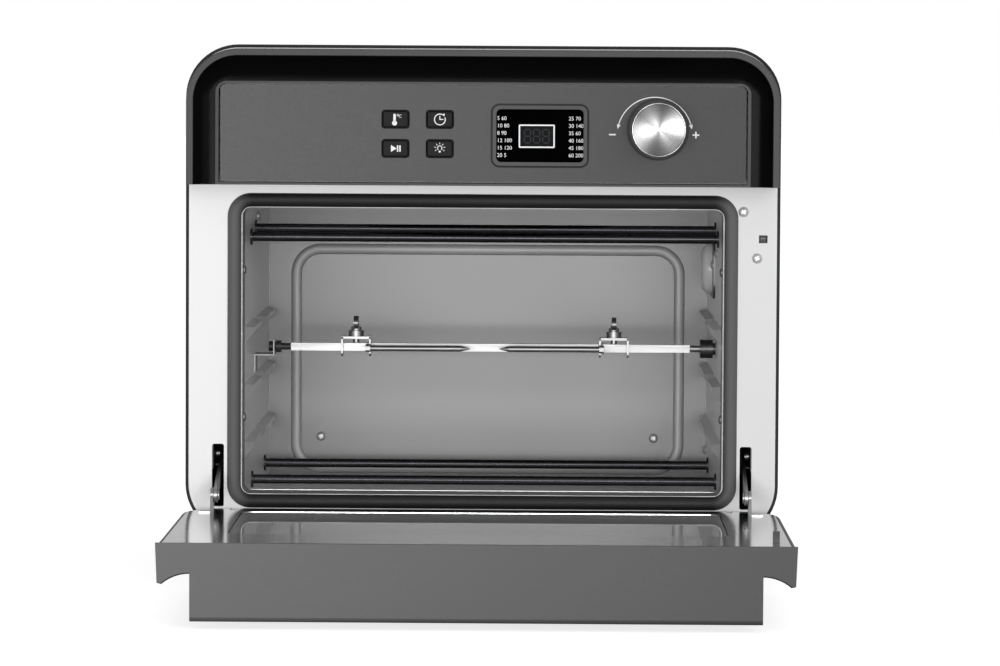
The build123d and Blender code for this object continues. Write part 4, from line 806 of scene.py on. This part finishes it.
class FRYER_OT_knob(bpy.types.Operator):
    """Control knob with a turned metal cap"""
    bl_idname = "fryer.knob"
    bl_label = "Knob"

    def execute(self, context):
        dress(coated("knob skirt", (0.055, 0.055, 0.057), 0.45, gloss=0.3), "knob_skirt")
        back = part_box("knob_cap")[1].y
        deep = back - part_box("knob_cap")[0].y
        cap = turned((KNOB.x, back, KNOB.z), (
            (0.0168, 0), (0.0168, 0.002), (0.0170, 0.0022), (0.0170, deep - 0.0007),
            (0.0169, deep - 0.0003), (0.0166, deep), (0.0163, deep), (0.0161, deep - 0.0003),
            (0.0158, deep - 0.0004), (0.0008, deep - 0.0009)), 128)
        cap = settle(cap, "turned_cap", self.spun(), "knob")
        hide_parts("knob_cap")
        return {"FINISHED"}

    def spun(self):
        """Turned aluminium: fine rings, and painted highlights and painted shade as soft light and
        dark sectors round the middle
        """
        mat, tree, shader, coord = new_material("turned aluminium")
        shift = tree.nodes.new("ShaderNodeMapping")
        shift.inputs["Location"].default_value = (-KNOB.x, 0, -KNOB.z)
        tree.links.new(coord.outputs["Object"], shift.inputs["Vector"])
        axes = tree.nodes.new("ShaderNodeSeparateXYZ")
        tree.links.new(shift.outputs["Vector"], axes.inputs["Vector"])
        turn = tree.nodes.new("ShaderNodeMath")
        turn.operation = "ARCTAN2"
        tree.links.new(axes.outputs["Z"], turn.inputs[0])
        tree.links.new(axes.outputs["X"], turn.inputs[1])
        part = tree.nodes.new("ShaderNodeMapRange")
        part.inputs["From Min"].default_value = -math.pi
        part.inputs["From Max"].default_value = math.pi
        tree.links.new(turn.outputs[0], part.inputs["Value"])
        ramp = tree.nodes.new("ShaderNodeValToRGB")
        ramp.color_ramp.interpolation = "B_SPLINE"
        # painted reflections: the base colour is lighter and darker by angle round the knob's
        # middle
        painted_sectors = ((0.0, 0.95), (0.08, 0.9), (0.15, 0.42), (0.22, 0.22), (0.29, 0.4),
                 (0.35, 0.75), (0.41, 0.3), (0.46, 0.5), (0.53, 0.95), (0.60, 0.95),
                 (0.66, 0.5), (0.715, 0.2), (0.77, 0.5), (0.83, 0.8), (0.89, 0.35),
                 (0.94, 0.6), (1.0, 0.95))
        highlight_scale = 0.38
        bits = ramp.color_ramp.elements
        while len(bits) < len(painted_sectors):
            bits.new(0.5)
        for bit, (place, shade) in zip(bits, painted_sectors):
            bit.position = place
            bit.color = (*[shade * highlight_scale] * 3, 1)
        tree.links.new(part.outputs["Result"], ramp.inputs["Fac"])
        tree.links.new(ramp.outputs["Color"], shader.inputs["Base Color"])
        far = tree.nodes.new("ShaderNodeVectorMath")
        far.operation = "LENGTH"
        flat = tree.nodes.new("ShaderNodeMapping")
        flat.inputs["Scale"].default_value = (1, 0, 1)
        tree.links.new(shift.outputs["Vector"], flat.inputs["Vector"])
        tree.links.new(flat.outputs["Vector"], far.inputs[0])
        rings = tree.nodes.new("ShaderNodeTexNoise")
        rings.noise_dimensions = "1D"
        rings.inputs["Scale"].default_value = 4000
        tree.links.new(far.outputs["Value"], rings.inputs["W"])
        tree.links.new(spread(tree, rings.outputs["Fac"], 0.2, 0.36),
                       shader.inputs["Roughness"])
        bump(tree, shader, rings.outputs["Fac"], 0.15, 0.00003)
        shader.inputs["Metallic"].default_value = 1.0
        return mat


class FRYER_OT_cavity(bpy.types.Operator):
    """Oven liner, fan, heating rods, lamp and seal"""
    bl_idname = "fryer.cavity"
    bl_label = "Cavity"

    def execute(self, context):
        look = context.scene.fryer_finishes
        # painted shade: one liner steel in lit and shaded copies, pale on the floor, ceiling and
        # side walls, mid grey on the collar and rivets, dark on the rear wall, fan guard and lamp
        # bezel
        dress(brushed("liner steel", look.liner, 0.36, EVEN, 0.05, 0.06), "cavity_floor",
              "cavity_ceiling")
        dress(brushed("side sheet", (0.92, 0.92, 0.92), 0.40, EVEN, 0.05, 0.06, 0.75),
              "cavity_side_left", "cavity_side_right")
        dress(brushed("rear sheet", (0.132, 0.132, 0.132), 0.38, EVEN, 0.06, 0.06),
              "cavity_rear_wall", "fan_guard", "lamp_bezel")
        bright = brushed("bright liner", (0.27, 0.27, 0.27), 0.46, ALONG, metallic=0.8)
        dress(bright, "cavity_collar")
        dress(brushed("plain steel", (0.5, 0.5, 0.5), 0.35), "fan_housing", "fan_motor",
              "fan_wheel", "rotisserie_motor")
        dress(brushed("heated rods", (0.06, 0.06, 0.065), 0.3), "upper_heaters",
              "lower_heaters")
        dress(clear_glass("lamp lens", (0.9, 0.9, 0.9), 0.15, 0.7), "lamp_lens")
        dress(clear_glass("lamp bulb", (0.95, 0.93, 0.88), 0.1, 0.8), "lamp_bulb")
        sizes = context.scene.fryer_sizes
        self.seal(self.silicone(), sizes.seal)
        # painted light: the bead is the rear wall's steel, made paler and less metallic so that it
        # shows as a lit band
        paler = coated("worn liner", (0.48, 0.48, 0.48), 0.5, 900, 0.06, 0.05, 0.3)
        self.pressed_bead(paler, sizes.bead)
        self.rivets(bright)
        return {"FINISHED"}

    def silicone(self):
        """Dark silicone with painted light: lighter along its upright runs than along its top and
        bottom
        """
        mat, tree, shader, coord = new_material("silicone seal")
        axes = tree.nodes.new("ShaderNodeSeparateXYZ")
        tree.links.new(coord.outputs["Object"], axes.inputs["Vector"])
        away = tree.nodes.new("ShaderNodeMath")
        away.operation = "ABSOLUTE"
        tree.links.new(axes.outputs["X"], away.inputs[0])
        side = tree.nodes.new("ShaderNodeMapRange")
        side.interpolation_type = "SMOOTHSTEP"
        side.inputs["From Min"].default_value = 0.146
        side.inputs["From Max"].default_value = 0.160
        tree.links.new(away.outputs[0], side.inputs["Value"])
        # painted light: the seal's upright runs get a lighter colour than its top and bottom runs
        ramp = tree.nodes.new("ShaderNodeValToRGB")
        ramp.color_ramp.elements[0].color = (0.009, 0.009, 0.009, 1)
        ramp.color_ramp.elements[1].color = (0.105, 0.105, 0.106, 1)
        tree.links.new(side.outputs["Result"], ramp.inputs["Fac"])
        tree.links.new(ramp.outputs["Color"], shader.inputs["Base Color"])
        fine = stretched_noise(tree, coord, 900)
        tree.links.new(spread(tree, fine.outputs["Fac"], 0.42, 0.56),
                       shader.inputs["Roughness"])
        bump(tree, shader, fine.outputs["Fac"], 0.2, 0.00003)
        shader.inputs["Specular IOR Level"].default_value = 0.25
        return mat

    def seal(self, rubber, thick):
        """Round-backed seal: a rounded loop thickened into a tube, its back half cut off"""
        low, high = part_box("door_gasket")
        width, tall = high.x - low.x, high.z - low.z
        at = ((low.x + high.x) / 2, FRAME_Y, (low.z + high.z) / 2)
        obj = half_round_loop(width - thick, tall - thick, at, 0.0106, thick, FRAME_Y - low.y)
        obj = settle(obj, "round_seal", rubber, "oven")
        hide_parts("door_gasket")

    def pressed_bead(self, steel, thick):
        """Soft raised ring on the rear wall, over the plain pressed one, in a paler copy of the
        wall's steel as painted light
        """
        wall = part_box("cavity_rear_wall")
        face = wall[1].y - SHEET
        half = wall[1].x - BEAD_SIDE
        low, high = wall[0].z + BEAD_FOOT, wall[1].z - BEAD_HEAD
        at = (0, face, (low + high) / 2)
        obj = half_round_loop(2 * half, high - low, at, 0.017, thick, 0.375 * thick)
        settle(obj, "pressed_bead", steel, "oven")

    def rivets(self, metal):
        """Domed rivets round the collar"""
        d = FRAME_Y + RIVET_DEPTH
        half = COLLAR[1].x - SHEET
        first = turned((0, 0, 0), ((0.0024, -0.0002), (0.0024, 0.0002), (0.0021, 0.0004),
                                   (0.0014, 0.0006), (0.0007, 0.0007)), 24)
        tall = turned((0, 0, 0), ((0.0029, -0.0002), (0.0029, 0.0005), (0.0027, 0.0009),
                                  (0.0021, 0.0014), (0.0010, 0.0017)), 24)
        heads = []
        for z, up in ((RIVET_LOW, 1), (RIVET_HIGH, -1)):
            for x in (RIVET_END - half, 0, half - RIVET_END):
                heads.append(placed(first, (x, d, z), (-up * math.pi / 2, 0, 0)))
        for side in (-1, 1):
            for z in RIVET_SIDES:
                heads.append(placed(tall, (side * half, d, z), (0, 0, -side * math.pi / 2)))
        discard(first, tall)
        obj = settle(joined(heads), "domed_rivets", metal, "oven")
        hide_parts("rivets")


class FRYER_OT_rotisserie(bpy.types.Operator):
    """Spit, forks and drive"""
    bl_idname = "fryer.rotisserie"
    bl_label = "Rotisserie"

    def execute(self, context):
        dress(brushed("spit steel", (0.34, 0.34, 0.34), 0.38, ALONG), "spit_rod", "fork_left",
              "fork_right", "thumb_screw_left", "thumb_screw_right")
        dress(coated("spit black", (0.02, 0.02, 0.02), 0.4), "spit_bushing")
        dress(brushed("socket steel", (0.10, 0.10, 0.10), 0.35), "drive_socket")
        dress(brushed("bracket steel", (0.25, 0.25, 0.25), 0.4), "spit_bracket")
        return {"FINISHED"}


class FRYER_OT_door(bpy.types.Operator):
    """Door panel, its panes and the outer mouldings"""
    bl_idname = "fryer.door"
    bl_label = "Door"

    def execute(self, context):
        dress(brushed("door steel", (0.70, 0.70, 0.70), 0.14, ALONG, 0.04, 0.05),
              "door_inner_panel")
        dress(clear_glass("outer pane", (0.01, 0.01, 0.012), 0.02, 0.75), "door_glass_outer")
        dress(clear_glass("inner pane", (0.36, 0.36, 0.365), 0.02, 0.92, 2.2),
              "door_glass_inner")
        # painted shade: the door's grey moulding and cap darken towards the right
        dress(painted_light_gradient("grey moulding", 0.113, 0.069, 0.47, 0.3, 0.3), "door_frame", "door_cap")
        return {"FINISHED"}


STEPS = ("stage", "casing", "fascia", "knob", "cavity", "rotisserie", "door")


class FRYER_PT_panel(bpy.types.Panel):
    """Steps and settings of the air fryer"""
    bl_label = "Air fryer"
    bl_idname = "FRYER_PT_panel"
    bl_space_type = "VIEW_3D"
    bl_region_type = "UI"
    bl_category = "Air fryer"

    def draw(self, context):
        scene = context.scene
        for group in (scene.fryer_finishes, scene.fryer_sizes, scene.fryer_stage):
            box = self.layout.box()
            for key in group.bl_rna.properties.keys():
                if key not in ("rna_type", "name"):
                    box.prop(group, key)
        for step in STEPS:
            self.layout.operator("fryer." + step)


CLASSES = (FryerFinishes, FryerSizes, FryerStage, FRYER_OT_stage, FRYER_OT_casing,
           FRYER_OT_fascia, FRYER_OT_knob, FRYER_OT_cavity, FRYER_OT_rotisserie, FRYER_OT_door,
           FRYER_PT_panel)


def register():
    for cls in CLASSES:
        bpy.utils.register_class(cls)
    bpy.types.Scene.fryer_finishes = bpy.props.PointerProperty(type=FryerFinishes)
    bpy.types.Scene.fryer_sizes = bpy.props.PointerProperty(type=FryerSizes)
    bpy.types.Scene.fryer_stage = bpy.props.PointerProperty(type=FryerStage)


def unregister():
    del bpy.types.Scene.fryer_stage
    del bpy.types.Scene.fryer_sizes
    del bpy.types.Scene.fryer_finishes
    for cls in reversed(CLASSES):
        bpy.utils.unregister_class(cls)


def main():
    register()
    for step in STEPS:
        getattr(bpy.ops.fryer, step)()


if __name__ == "__main__":
    main()
